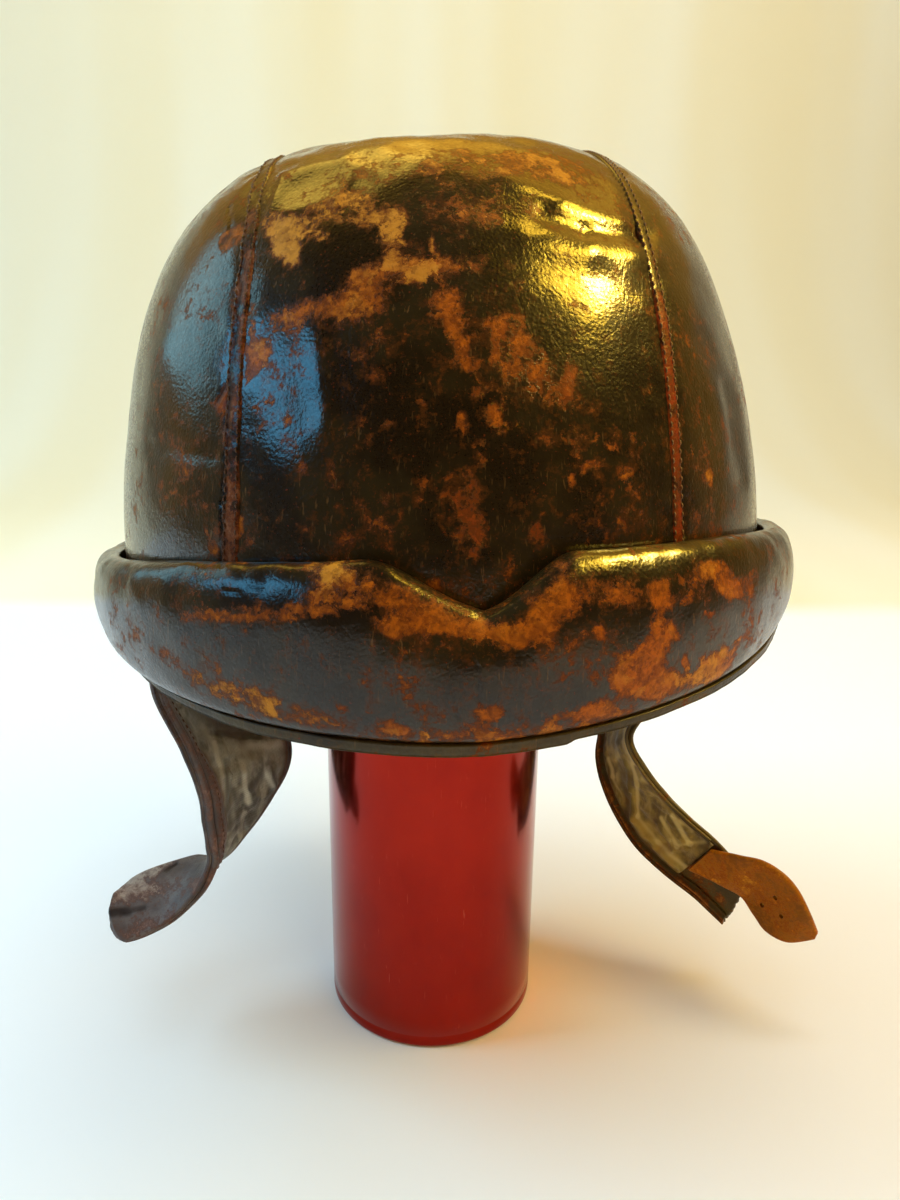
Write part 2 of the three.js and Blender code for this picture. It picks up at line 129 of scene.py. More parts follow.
def read_table(rows, key, column, at):
    """A column of a table between its rows, smoothly."""
    keys = np.array([row[key] for row in rows], float)
    values = np.array([row[column] for row in rows], float)
    last = len(rows) - 1
    low = np.clip(np.searchsorted(keys, at, side="left") - 1, 0, last - 1)
    high, before, after = low + 1, np.maximum(low - 1, 0), np.minimum(low + 2, last)
    span = keys[high] - keys[low]
    share = (at - keys[low]) / span
    slope_low = (values[high] - values[before]) / (keys[high] - keys[before])
    slope_high = (values[after] - values[low]) / (keys[after] - keys[low])
    s2, s3 = share**2, share**3
    return (
        values[low] * (2 * s3 - 3 * s2 + 1)
        + slope_low * span * (s3 - 2 * s2 + share)
        + values[high] * (3 * s2 - 2 * s3)
        + slope_high * span * (s3 - s2)
    )


def through_points(points, at):
    """A smooth line through a list of points (rows first), read at places counted in rows."""
    low = np.clip(np.floor(at).astype(int), 0, len(points) - 2)
    s = (at - low)[..., None]
    columns = np.arange(points.shape[1])
    before = points[np.maximum(low - 1, 0), columns]
    start, end = points[low, columns], points[low + 1, columns]
    after = points[np.minimum(low + 2, len(points) - 1), columns]
    bend = 3 * (start - end) + after - before
    return start + 0.5 * s * (end - before + s * (2 * before - 5 * start + 4 * end - after + s * bend))


def grid_normals(grid):
    """Directions square to a grid of points, along rows x columns."""
    down = np.gradient(grid, axis=0)
    across = np.gradient(grid, axis=1)
    return unit(np.cross(down, across))


def outward_normals(loops):
    """Directions square to a row of closed loops of points, away from each loop's middle."""
    normals = grid_normals(loops)
    away = loops - loops.mean(axis=1, keepdims=True)
    return normals * np.sign((normals * away).sum(-1).mean())


# The crown's shape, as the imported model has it
CROWN = {"half_width": 107.0, "front": 118.0, "back": 124.0, "height": 147.0, "wall": 7.0}
PLAN_POWER, FLANK_POWER, TOP_POWER = 1.95, 3.8, 2.1
OUTSIDE, HALVINGS = 300.0, 32
HELMET_MIDDLE = np.array([3.0, 0.0, 167.0])
FRONT_RAISED_DEG, RIGHT_RAISED_DEG = 1.0, 2.4
TURN_UP = np.array(
    Matrix.Rotation(-math.radians(FRONT_RAISED_DEG), 3, "X")
    @ Matrix.Rotation(-math.radians(RIGHT_RAISED_DEG), 3, "Y")
)
RIM_RISE = table(
    "turn rise",
    (0, 0),
    (0.25, 3),
    (0.5, 6.5),
    (0.75, 5),
    (1, 4),
)
RIM_RISE_FADES_AT = 70
MIDDLE_PANEL = table(
    "along left right",
    (0, 61, 56.5),
    (0.1, 60, 56),
    (0.2, 57, 55.5),
    (0.27, 54, 54),
    (0.34, 50, 51),
    (0.5, 45, 46),
    (0.75, 48, 48),
    (1, 50, 50),
)


def placed(points):
    """From the helmet's own directions to the part's."""
    return points @ TURN_UP.T + HELMET_MIDDLE


def crown_level(points, outset=0.0):
    x, y, z = points[..., 0], points[..., 1], points[..., 2]
    reach = np.where(y < 0, CROWN["front"], CROWN["back"]) + outset
    plan = np.abs(x / (CROWN["half_width"] + outset)) ** PLAN_POWER + np.abs(y / reach) ** PLAN_POWER
    return plan ** (FLANK_POWER / PLAN_POWER) + np.abs(z / (CROWN["height"] + outset)) ** TOP_POWER


def last_inside(point_at, shape, outset=0.0):
    """How far from the middle the crown's surface lies, by halving."""
    low, high = np.zeros(shape), np.full(shape, OUTSIDE)
    for _ in range(HALVINGS):
        middle = (low + high) / 2
        inside = crown_level(point_at(middle), outset) < 1
        low, high = np.where(inside, middle, low), np.where(inside, high, middle)
    return low


def onto_crown(points, outset=0.0):
    way = unit(points)
    return way * last_inside(lambda r: way * r[..., None], points.shape[:-1], outset)[..., None]


def crown_point(x, along, outset=0.0):
    x, along = np.broadcast_arrays(np.asarray(x, float), np.asarray(along, float))
    forward, up = -np.cos(np.pi * along), np.sin(np.pi * along)

    def point_at(reach):
        return np.stack([x, reach * forward, reach * up], axis=-1)

    return point_at(last_inside(point_at, x.shape, outset))


def rim_point(turn):
    turn = np.asarray(turn, float)
    return onto_crown(np.stack([np.sin(turn), -np.cos(turn), np.zeros_like(turn)], axis=-1))


def band_point(turn, z, out):
    """The point at a turn and a height on the crown's lower part, moved outwards level."""
    share = (1 - (np.maximum(z, 0) / CROWN["height"]) ** TOP_POWER) ** (1 / FLANK_POWER)
    point = rim_point(turn) * np.asarray(share)[..., None]
    x, y = point[..., 0], point[..., 1]
    reach = np.where(y < 0, CROWN["front"], CROWN["back"])
    slope_x = np.sign(x) * np.abs(x / CROWN["half_width"]) ** (PLAN_POWER - 1) / CROWN["half_width"]
    slope_y = np.sign(y) * np.abs(y / reach) ** (PLAN_POWER - 1) / reach
    normal = unit(np.stack([slope_x, slope_y, np.zeros_like(x)], axis=-1))
    moved = point + normal * np.asarray(out)[..., None]
    moved[..., 2] = z
    return moved


def raised(points):
    turn = np.arctan2(np.abs(points[..., 0]), -points[..., 1]) / np.pi
    lift = read_table(RIM_RISE, "turn", "rise", turn) * smooth(0, 1, 1 - points[..., 2] / RIM_RISE_FADES_AT)
    up = points.copy()
    up[..., 2] += lift
    return up


def seam_at(side, along):
    return side * read_table(MIDDLE_PANEL, "along", "left" if side < 0 else "right", along)


# Wear, read off the photograph and kept as soft patches on the surface
# px, py: the patch's middle in the photograph; long, wide: half its size there; turn: degrees, clockwise;
# worn: how far the lacquer is gone; tone: -1 red-brown, 0 orange-brown, 1 pale tan.
CROWN_WEAR = table(
    "px py long wide turn worn tone",
    (281, 229, 22, 17, 0, 1.0, 0.9),
    (287, 250, 17, 15, 60, 1.0, 0.9),
    (317, 236, 19, 6, 18, 1.0, 0.9),
    (335, 212, 34, 16, -8, 0.5, 0.9),
    (380, 214, 28, 22, 30, 0.62, 0.85),
    (392, 240, 24, 14, 80, 0.72, 0.8),
    (404, 270, 50, 15, -4, 0.82, 0.5),
    (356, 286, 26, 17, -25, 0.82, 0.4),
    (325, 308, 36, 11, 4, 0.85, 0.2),
    (286, 316, 24, 8, 0, 0.65, 0.1),
    (376, 300, 22, 12, 0, 0.75, 0.2),
    (434, 247, 15, 4, 80, 0.85, 0.8),
    (448, 266, 22, 9, 0, 0.75, 0.35),
    (480, 262, 12, 9, 0, 0.5, -0.6),
    (446, 300, 18, 14, 0, 0.8, 0.1),
    (453, 326, 28, 11, 75, 0.8, 0.0),
    (462, 356, 20, 9, 80, 0.6, -0.2),
    (500, 334, 36, 24, 10, 0.46, -0.2),
    (522, 356, 46, 34, 40, 0.44, -0.3),
    (548, 385, 26, 18, 70, 0.5, -0.1),
    (568, 384, 26, 7, 100, 0.85, -0.7),
    (580, 309, 14, 8, 10, 0.7, 0.6),
    (462, 421, 12, 8, 80, 0.95, 0.1),
    (493, 414, 12, 9, 40, 1.0, 0.15),
    (502, 430, 12, 6, 45, 1.0, 0.2),
    (480, 396, 16, 6, 0, 0.5, -0.3),
    (590, 466, 11, 5, -30, 0.85, -0.4),
    (573, 480, 8, 4, 100, 0.85, -0.3),
    (613, 446, 10, 4, 10, 0.6, -0.5),
    (648, 390, 9, 8, 0, 0.65, 0.2),
    (537, 532, 13, 7, 80, 0.9, -0.8),
    (606, 535, 6, 4, 80, 0.6, -0.7),
    (480, 455, 12, 9, 60, 0.6, -0.4),
    (466, 488, 26, 17, 85, 0.62, -0.8),
    (472, 522, 28, 17, 80, 0.66, -0.75),
    (474, 556, 8, 5, 20, 0.7, -0.6),
    (448, 505, 32, 12, 90, 0.5, -0.4),
    (425, 495, 28, 16, 90, 0.36, 0.0),
    (330, 455, 24, 14, 90, 0.28, 0.2),
    (261, 429, 12, 4, 28, 0.6, 0.5),
    (385, 423, 14, 4, 12, 0.65, -0.4),
    (277, 522, 26, 4, -62, 0.45, 0.8),
    (258, 352, 15, 13, 90, 0.95, 0.15),
    (250, 372, 12, 8, 90, 0.8, 0.1),
    (252, 320, 24, 5, 95, 0.6, 0.1),
    (238, 528, 14, 5, 95, 0.9, 0.3),
    (232, 239, 17, 11, -50, 1.0, 0.1),
    (236, 295, 26, 7, 100, 0.6, -0.3),
    (228, 395, 28, 9, 110, 0.8, -0.6),
    (220, 402, 10, 7, 0, 0.8, -0.5),
    (212, 548, 14, 7, 40, 0.55, -0.2),
    (205, 272, 34, 18, -60, 0.3, 0.1),
    (178, 442, 28, 10, 0, 0.45, -0.1),
    (160, 400, 34, 10, 95, 0.34, 0.2),
    (182, 490, 42, 34, 0, 0.3, 0.0),
    (710, 477, 10, 4, 85, 0.85, 0.3),
    (696, 522, 12, 8, 90, 0.5, 0.0),
    (702, 330, 46, 12, 80, 0.34, 0.2),
    (450, 163, 120, 20, 0, 0.48, 0.5),
    (560, 172, 64, 16, 12, 0.52, 0.5),
    (345, 188, 56, 16, -12, 0.42, 0.6),
    (500, 212, 76, 22, 6, 0.4, 0.1),
)
ROLL_WEAR = table(
    "px py long wide turn worn tone",
    (337, 575, 20, 14, 0, 1.0, 0.8),
    (352, 594, 46, 19, 0, 0.72, 0.2),
    (300, 611, 62, 12, -3, 0.62, -0.1),
    (245, 617, 52, 10, 0, 0.5, -0.1),
    (196, 616, 30, 8, 0, 0.45, 0.1),
    (412, 606, 44, 18, 22, 0.8, 0.0),
    (400, 626, 30, 12, 0, 0.9, -0.1),
    (440, 622, 26, 11, 15, 0.9, -0.1),
    (472, 628, 30, 11, 5, 0.85, -0.1),
    (514, 638, 25, 12, -8, 0.92, 0.0),
    (547, 615, 34, 22, -40, 0.78, 0.0),
    (592, 590, 54, 19, -2, 0.74, 0.1),
    (625, 602, 24, 8, 20, 0.7, 0.0),
    (661, 596, 19, 13, 90, 0.92, 0.0),
    (690, 580, 16, 9, 0, 0.6, 0.1),
    (713, 567, 17, 9, 0, 0.95, 0.3),
    (731, 586, 19, 13, 20, 0.98, 0.2),
    (750, 578, 15, 9, 90, 0.5, 0.0),
    (664, 630, 16, 12, 20, 0.97, 0.2),
    (650, 650, 24, 13, -35, 0.95, 0.15),
    (641, 672, 28, 23, 0, 0.95, 0.25),
    (626, 682, 16, 14, 0, 0.85, 0.1),
    (660, 684, 18, 12, -30, 0.8, 0.3),
    (712, 668, 25, 14, -28, 0.95, 0.55),
    (685, 660, 9, 4, 80, 0.85, 0.1),
    (600, 634, 9, 6, 70, 0.85, -0.5),
    (709, 614, 6, 4, 80, 0.9, -0.7),
    (686, 600, 8, 6, 0, 0.55, -0.4),
    (395, 727, 17, 7, 15, 1.0, 0.3),
    (345, 708, 9, 4, -20, 0.8, -0.5),
    (370, 731, 64, 12, 5, 0.54, 0.4),
    (296, 711, 64, 14, 16, 0.48, 0.5),
    (222, 684, 54, 15, 25, 0.46, 0.5),
    (166, 655, 26, 9, 35, 0.52, 0.0),
    (475, 733, 60, 12, -2, 0.50, 0.2),
    (489, 712, 18, 8, 0, 0.97, -0.1),
    (560, 722, 66, 14, -10, 0.50, 0.2),
    (640, 700, 58, 14, -20, 0.52, 0.4),
    (590, 711, 17, 8, -20, 0.8, 0.0),
    (735, 650, 34, 9, -42, 0.5, 0.4),
    (113, 597, 30, 8, 80, 0.45, 0.0),
    (430, 690, 34, 14, 0, 0.3, 0.0),
    (560, 670, 40, 14, 0, 0.28, 0.0),
    (755, 620, 30, 14, 90, 0.42, 0.3),
)
FLAP_WEAR = table(
    "px py long wide turn worn tone",
    (128, 892, 26, 13, -12, 0.8, 0.5),
    # Partly painted highlight: this pale patch along the curled end's upper edge paints its highlight as well
    # as its wear.
    (152, 869, 30, 7, -26, 0.9, 1.2),
    (103, 916, 12, 6, 80, 0.9, 1.2),
    (150, 925, 46, 8, -18, 0.5, 0.0),
    (190, 890, 26, 8, -48, 0.5, -0.3),
    (172, 885, 30, 14, -30, 0.25, 0.4),
    (700, 880, 40, 10, 40, 0.5, -0.3),
)
# Cracks and open seams in the photograph, and the painted shadow of one slit: a line from its first place to
# its last, and half its width.
CRACKS = table(
    "px py to_px to_py half",
    (243, 262, 240, 300, 1.2),
    (240, 300, 235, 345, 2.0),
    (235, 345, 232, 372, 1.4),
    (232, 372, 217, 402, 1.6),
    (231, 372, 227, 430, 1.8),
    (227, 430, 223, 500, 1.1),
    (223, 500, 221, 566, 1.6),
    (230, 207, 232, 233, 1.1),
    (232, 233, 222, 246, 1.3),
    (477, 664, 480, 701, 0.9),
    (453, 682, 457, 716, 0.8),
    (213, 594, 262, 588, 0.9),
    # Painted shadow: these three rows paint the dark slit under the left flap's curled, torn end.
    (111, 913, 128, 911, 3.2),
    (128, 911, 145, 908, 1.7),
    (106, 898, 113, 886, 2.0),
    (166, 871, 177, 864, 1.1),
)
# The back and the far sides wear like the front: x and z from the rim's middle, in millimetres.
BACK_WEAR = table(
    "px py long wide turn worn tone",
    (-32, 118, 26, 10, 12, 0.85, 0.4),
    (24, 104, 20, 9, -25, 0.75, 0.1),
    (-10, 84, 9, 5, 60, 0.9, -0.3),
    (6, 58, 16, 9, 80, 0.7, -0.2),
    (-62, 74, 14, 6, 70, 0.7, 0.1),
    (66, 66, 18, 7, 100, 0.7, 0.0),
    (38, 38, 22, 7, 10, 0.6, 0.2),
    (-40, 34, 18, 8, -15, 0.6, -0.1),
    (0, 10, 70, 5, 0, 0.7, 0.1),
    (0, 2, 95, 4, 0, 0.55, 0.2),
)


def patches(x, y, rows):
    """How worn and how pale each place is, from a table of soft oval patches."""
    worn, tone, weight = np.zeros(x.shape), np.zeros(x.shape), np.full(x.shape, 1e-3)
    for row in rows:
        angle = math.radians(row["turn"])
        dx, dy = x - row["px"], y - row["py"]
        along = dx * math.cos(angle) + dy * math.sin(angle)
        aside = dy * math.cos(angle) - dx * math.sin(angle)
        apart = np.sqrt((along / row["long"]) ** 2 + (aside / row["wide"]) ** 2)
        here = row["worn"] * (1 - smooth(0.35, 1.55, apart))
        worn = worn + here - worn * here * 0.85
        tone += row["tone"] * here**2
        weight += here**2
    return np.clip(worn, 0, 1), tone / weight


def line_distance(x, y, row):
    """How far each place is from a line between two places."""
    start = np.array([row["px"], row["py"]], float)
    way = np.array([row["to_px"], row["to_py"]], float) - start
    share = np.clip(((x - start[0]) * way[0] + (y - start[1]) * way[1]) / (way @ way), 0, 1)
    return np.hypot(x - start[0] - share * way[0], y - start[1] - share * way[1])


def crack_lines(x, y):
    deep = np.zeros(x.shape)
    for row in CRACKS:
        apart = line_distance(x, y, row)
        deep = np.maximum(deep, 1 - smooth(0.6 * row["half"], 2.4 * row["half"], apart))
    return deep


def wear_marks(points, normals, rows):
    """Worn, tone and cracks for each point of a surface, in the part's directions. On the left flap's torn
    end the cracks include the painted shadow of its slit.
    """
    x, y = photo_place(points)
    seen = smooth(-0.02, 0.12, (unit(EYE - points) * normals).sum(-1))
    worn, tone = patches(x, y, rows)
    jag = 1.8 * rumple(points, 2.6, 17)
    cracks = crack_lines(x + jag, y) * (0.75 + 0.5 * rumple(points, 4.0, 18))
    local = points - HELMET_MIDDLE
    behind = smooth(0, 25, local[..., 1])
    back_worn, back_tone = patches(local[..., 0], local[..., 2], BACK_WEAR)
    all_over = 0.2 + 0.1 * rumple(points, 34.0, 3)
    return {
        "worn": np.clip(np.maximum(worn * seen, all_over) + back_worn * behind * (1 - seen), 0, 1),
        "tone": tone * seen + back_tone * behind * (1 - seen),
        "crack": np.clip(cracks * seen, 0, 1),
    }


def plain_marks(points, worn=0.2, tone=0.0):
    shape = points.shape[:-1]
    return {"worn": np.full(shape, worn), "tone": np.full(shape, tone), "crack": np.zeros(shape)}


# Building meshes
def new_object(name, vertices, faces, materials):
    """A smooth-shaded object from points in millimetres."""
    mesh = bpy.data.meshes.new(name)
    mesh.from_pydata((np.asarray(vertices).reshape(-1, 3) * MM).tolist(), [], faces)
    for material in materials:
        mesh.materials.append(material)
    mesh.polygons.foreach_set("use_smooth", np.ones(len(mesh.polygons), bool))
    made = bpy.data.objects.new(name, mesh)
    bpy.context.scene.collection.objects.link(made)
    return made


def make_piece(name, vertices, faces, materials, slot, marks, inner_faces=0):
    """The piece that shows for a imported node. Its last `inner_faces` faces take the last material."""
    piece = new_object(name + "_shown", vertices, faces.tolist(), materials)
    mesh = piece.data
    for key, values in marks.items():
        mark = mesh.attributes.new(key, "FLOAT", "POINT")
        mark.data.foreach_set("value", values.ravel().astype(np.float32))
    index = np.zeros(len(faces), np.int32)
    index[len(faces) - inner_faces :] = len(materials) - 1
    mesh.polygons.foreach_set("material_index", index)
    shape = bmesh.new()
    shape.from_mesh(mesh)
    bmesh.ops.recalc_face_normals(shape, faces=shape.faces)
    shape.to_mesh(mesh)
    shape.free()
    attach(piece, "root")
    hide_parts(name)
    return piece


def quads(rows, columns, first=0, closed_rows=False, closed_columns=False):
    """Faces of a grid of points that are numbered row by row from `first`."""
    i = np.arange(rows if closed_rows else rows - 1)[:, None]
    j = np.arange(columns if closed_columns else columns - 1)[None, :]
    n, k = (i + 1) % rows, (j + 1) % columns
    corners = [a * columns + b for a, b in ((i, j), (n, j), (n, k), (i, k))]
    return first + np.stack([c + 0 * (i + j) for c in corners], axis=-1).reshape(-1, 4)


def shell_faces(rows, columns):
    """Faces of a closed body between an outer and an inner grid; the inner grid's own faces come last."""
    count = rows * columns
    edge = np.concatenate(
        [
            np.arange(columns),
            np.arange(1, rows) * columns + columns - 1,
            (rows - 1) * columns + np.arange(columns - 2, -1, -1),
            np.arange(rows - 2, 0, -1) * columns,
        ]
    )
    following = np.roll(edge, -1)
    rim = np.stack([edge, following, following + count, edge + count], axis=-1)
    inner = quads(rows, columns, count)[:, ::-1]
    return np.concatenate([quads(rows, columns), rim, inner]), len(inner)


def make_shell(name, outer, inner, outer_marks, inner_marks, materials, slot):
    """A closed piece between two grids of points."""
    faces, inner_count = shell_faces(*outer.shape[:2])
    marks = {key: np.concatenate([outer_marks[key].ravel(), inner_marks[key].ravel()]) for key in outer_marks}
    return make_piece(name, np.concatenate([outer, inner]), faces, materials, slot, marks, inner_count)


def tube_faces(rings, sides, first=0):
    """Faces of a round body from ring to ring of points, with a flat face at each end."""
    ring = first + np.arange(sides)
    ends = [ring[::-1].tolist(), (ring + (rings - 1) * sides).tolist()]
    return quads(rings, sides, first, False, True).tolist() + ends


# Materials
class Nodes:
    """Adds nodes to a tree. Each input takes a value or another node's output."""

    def __init__(self, tree):
        self.tree = tree

    def put(self, kind, inputs=None, **settings):
        node = self.tree.nodes.new(kind)
        for key, value in settings.items():
            setattr(node, key, value)
        for key, value in (inputs or {}).items():
            self.feed(node.inputs[key], value)
        return node

    def feed(self, socket, value):
        if isinstance(value, bpy.types.NodeSocket):
            self.tree.links.new(value, socket)
        else:
            socket.default_value = (*value, 1.0) if socket.type == "RGBA" else value

    def math(self, operation, first, second=0.0):
        return self.put("ShaderNodeMath", {0: first, 1: second}, operation=operation).outputs[0]

    def vector(self, operation, first, second):
        """Second is a factor when the vector is scaled, or else a vector."""
        other = "Scale" if operation == "SCALE" else 1
        return self.put("ShaderNodeVectorMath", {0: first, other: second}, operation=operation).outputs[0]

    def add(self, *values):
        total = values[0]
        for value in values[1:]:
            total = self.math("ADD", total, value)
        return total

    def times(self, first, second):
        return self.math("MULTIPLY", first, second)

    def band(self, value, low, high, to_low=0.0, to_high=1.0):
        """Runs softly from one value to another while the input goes from low to high."""
        inputs = {"Value": value, "From Min": low, "From Max": high, "To Min": to_low, "To Max": to_high}
        return self.put("ShaderNodeMapRange", inputs, interpolation_type="SMOOTHSTEP").outputs[0]

    def mix(self, share, first, second):
        return self.put("ShaderNodeMix", {0: share, 6: first, 7: second}, data_type="RGBA").outputs[2]

    def split(self, vector):
        return self.put("ShaderNodeSeparateXYZ", {0: vector}).outputs


class Finish(Nodes):
    """A procedural material."""

    def __init__(self, name, **shader):
        self.material = bpy.data.materials.new(name)
        self.material.use_nodes = True
        super().__init__(self.material.node_tree)
        self.shader = self.tree.nodes["Principled BSDF"]
        self.places = self.put("ShaderNodeTexCoord").outputs["Object"]
        self.feed_shader(shader)

    def feed_shader(self, inputs):
        for socket, value in inputs.items():
            self.feed(self.shader.inputs[socket], value)

    def stretched(self, scale, turn=(0, 0, 0)):
        inputs = {"Vector": self.places, "Scale": scale, "Rotation": turn}
        return self.put("ShaderNodeMapping", inputs).outputs[0]

    def noise(self, scale, detail=4.0, roughness=0.6, places=None, distortion=0.0, output="Fac"):
        inputs = {"Scale": scale, "Detail": detail, "Roughness": roughness, "Distortion": distortion}
        inputs["Vector"] = places or self.places
        return self.put("ShaderNodeTexNoise", inputs).outputs[output]

    def cells(self, scale, feature="F1", places=None, output="Distance"):
        inputs = {"Vector": places or self.places, "Scale": scale}
        return self.put("ShaderNodeTexVoronoi", inputs, feature=feature).outputs[output]

    def shades(self, scale, places):
        """One random value for each cell."""
        return self.put("ShaderNodeSeparateColor", {0: self.cells(scale, "F1", places, "Color")}).outputs[0]

    def mark(self, name):
        return self.put("ShaderNodeAttribute", attribute_name=name).outputs["Fac"]

    def bump(self, height, distance, strength):
        inputs = {"Height": height, "Distance": distance * MM, "Strength": strength}
        return self.put("ShaderNodeBump", inputs).outputs[0]

    def softened(self, rippled, share):
        """Only part of the way from the smooth surface's direction to the bumped one."""
        level = self.put("ShaderNodeNewGeometry").outputs["Normal"]
        mixed = self.put("ShaderNodeMix", {0: share, 4: level, 5: rippled}, data_type="VECTOR").outputs[1]
        return self.put("ShaderNodeVectorMath", {0: mixed}, operation="NORMALIZE").outputs[0]

    def finish(self, colour, roughness, normal, **more):
        self.feed_shader({"Base Color": colour, "Roughness": roughness, "Normal": normal} | more)
        return self.material


CROWN_COLOURS = {
    "coat": (0.0085, 0.0048, 0.0016),
    "olive": (0.019, 0.013, 0.0038),
    "glaze": (0.058, 0.018, 0.0030),
    "deep": (0.115, 0.027, 0.0030),
    "red": (0.190, 0.027, 0.0040),
    "orange": (0.345, 0.088, 0.0042),
    "tan": (0.480, 0.200, 0.016),
}
STRIP_COLOURS = CROWN_COLOURS | {
    "glaze": (0.060, 0.014, 0.0040),
    "red": (0.235, 0.028, 0.0040),
    "orange": (0.210, 0.085, 0.040),
}
BINDING_COLOURS = CROWN_COLOURS | {
    "coat": (0.022, 0.016, 0.0055),
    "olive": (0.060, 0.044, 0.0140),
    "glaze": (0.085, 0.048, 0.0130),
}
FLAP_COLOURS = {
    "coat": (0.085, 0.072, 0.072),
    "olive": (0.150, 0.132, 0.130),
    "glaze": (0.115, 0.080, 0.074),
    "deep": (0.120, 0.068, 0.058),
    "red": (0.190, 0.080, 0.064),
    "orange": (0.255, 0.165, 0.135),
    "tan": (0.360, 0.300, 0.250),
}
RIGHT_FLAP_COLOURS = {
    "coat": (0.065, 0.045, 0.0130),
    "olive": (0.130, 0.095, 0.0260),
    "glaze": (0.130, 0.065, 0.0140),
    "deep": (0.130, 0.040, 0.008),
    "red": (0.300, 0.070, 0.012),
    "orange": (0.420, 0.150, 0.022),
    "tan": (0.460, 0.250, 0.060),
}
TAB_COLOURS = {
    "coat": (0.250, 0.080, 0.0025),
    "olive": (0.360, 0.140, 0.0045),
    "glaze": (0.410, 0.125, 0.0030),
    "deep": (0.290, 0.072, 0.0025),
    "red": (0.400, 0.055, 0.0030),
    "orange": (0.600, 0.185, 0.0040),
    "tan": (0.640, 0.300, 0.016),
}
DIRT = (0.014, 0.008, 0.003)
SCRATCH = (0.220, 0.105, 0.030)


# Scratches in three directions: how their noise is stretched and turned (degrees), and where they show.
SCRATCHES = table(
    "stretch turn low high",
    ((950, 950, 120), 0, 0.63, 0.72),
    ((1300, 800, 110), 52, 0.66, 0.74),
    ((1200, 700, 90), -38, 0.67, 0.75),
)


def leather(name, colours=CROWN_COLOURS, coat=0.9, polish=0.15, grain=1.0, crack_and_shade_colour=(0.003, 0.002, 0.0015)):
    """Lacquered leather, worn through in ragged flakes where the marks say so."""
    f = Finish(name, **{"Specular IOR Level": 0.08, "Coat Roughness": polish, "Coat IOR": 1.5})
    broad = f.noise(42.0, 7.0, 0.62)
    middle = f.noise(240.0, 6.0, 0.68, distortion=0.3)
    fine = f.noise(1300.0, 3.0, 0.6)
    warp = f.vector("SUBTRACT", f.noise(170.0, 5.0, 0.65, output="Color"), (0.5, 0.5, 0.5))
    warped = f.vector("ADD", f.places, f.vector("SCALE", warp, 0.013))
    flakes, chips = f.shades(210.0, warped), f.shades(620.0, warped)
    ragged = f.add(broad, f.times(middle, 1.6), f.times(fine, 0.34), -1.47)
    ragged = f.add(ragged, f.times(flakes, 0.34), f.times(chips, 0.24), -0.29)
    worn = f.add(f.mark("worn"), ragged)
    thinned, through, core = f.band(worn, 0.20, 0.56), f.band(worn, 0.50, 0.585), f.band(worn, 0.52, 0.98)
    crack = f.mark("crack")

    tone = f.add(f.mark("tone"), f.times(broad, 1.1), f.times(middle, 0.9), f.times(flakes, 0.5), -1.25)
    bare = f.mix(f.band(tone, -0.85, 0.0), colours["red"], colours["orange"])
    bare = f.mix(f.band(tone, 0.2, 0.95), bare, colours["tan"])
    bare = f.mix(core, colours["deep"], bare)
    mottle = f.noise(360.0, 5.0, 0.62, distortion=0.6)
    uneven = f.band(tone, 0.25, 0.9, 1.0, 0.3)
    for blotches in (f.band(middle, 0.34, 0.56, 0.6, 0.0), f.band(mottle, 0.38, 0.56, 0.55, 0.0)):
        bare = f.mix(f.times(blotches, uneven), bare, colours["deep"])
    bare = f.mix(f.band(chips, 0.0, 0.55, 0.35, 0.0), bare, colours["glaze"])

    streaks = []
    for row in SCRATCHES:
        turned = f.stretched(row["stretch"], (0, math.radians(row["turn"]), 0))
        streaks.append(f.band(f.noise(1.0, 3.0, 0.55, turned), row["low"], row["high"]))
    scratches = f.times(f.add(*streaks), f.band(broad, 0.36, 0.60, 0.25, 1.0))

    lacquer = f.mix(f.band(broad, 0.40, 0.62), colours["coat"], colours["olive"])
    lacquer = f.mix(thinned, lacquer, colours["glaze"])
    lacquer = f.mix(f.times(scratches, 0.32), lacquer, SCRATCH)
    lacquer = f.mix(f.band(fine, 0.665, 0.70, 0.0, 0.7), lacquer, colours["red"])
    skin = f.mix(through, lacquer, bare)
    skin = f.mix(f.band(fine, 0.56, 0.70, 0.0, 0.25), skin, DIRT)
    # Cracks are dark; on the flaps this colour also paints shade into the hems' grooves, between the right
    # hem's layers and into the slit under the left flap's torn end.
    skin = f.mix(crack, skin, crack_and_shade_colour)

    rough = f.add(0.34, f.times(through, 0.12), f.times(fine, 0.14), f.times(scratches, 0.08), -0.07)
    shine = f.times(f.band(worn, 0.30, 0.62, 1.0, 0.10), f.band(fine, 0.30, 0.62, coat, 0.72 * coat))
    creases = f.band(f.cells(150.0, "DISTANCE_TO_EDGE", f.stretched((1, 1, 0.7))), 0.0, 0.05)
    height = f.add(f.times(f.cells(960.0), 0.5 * grain), f.times(fine, 0.7 * grain), f.times(middle, 0.8))
    height = f.add(height, f.times(creases, 0.16 * grain), f.times(through, -0.7), f.times(scratches, -0.25))
    height = f.add(height, f.times(f.times(chips, through), 0.5), f.times(crack, -3.0))
    rippled = f.bump(height, 0.15, 0.85)
    return f.finish(skin, rough, rippled, **{"Coat Weight": shine, "Coat Normal": f.softened(rippled, 0.42)})


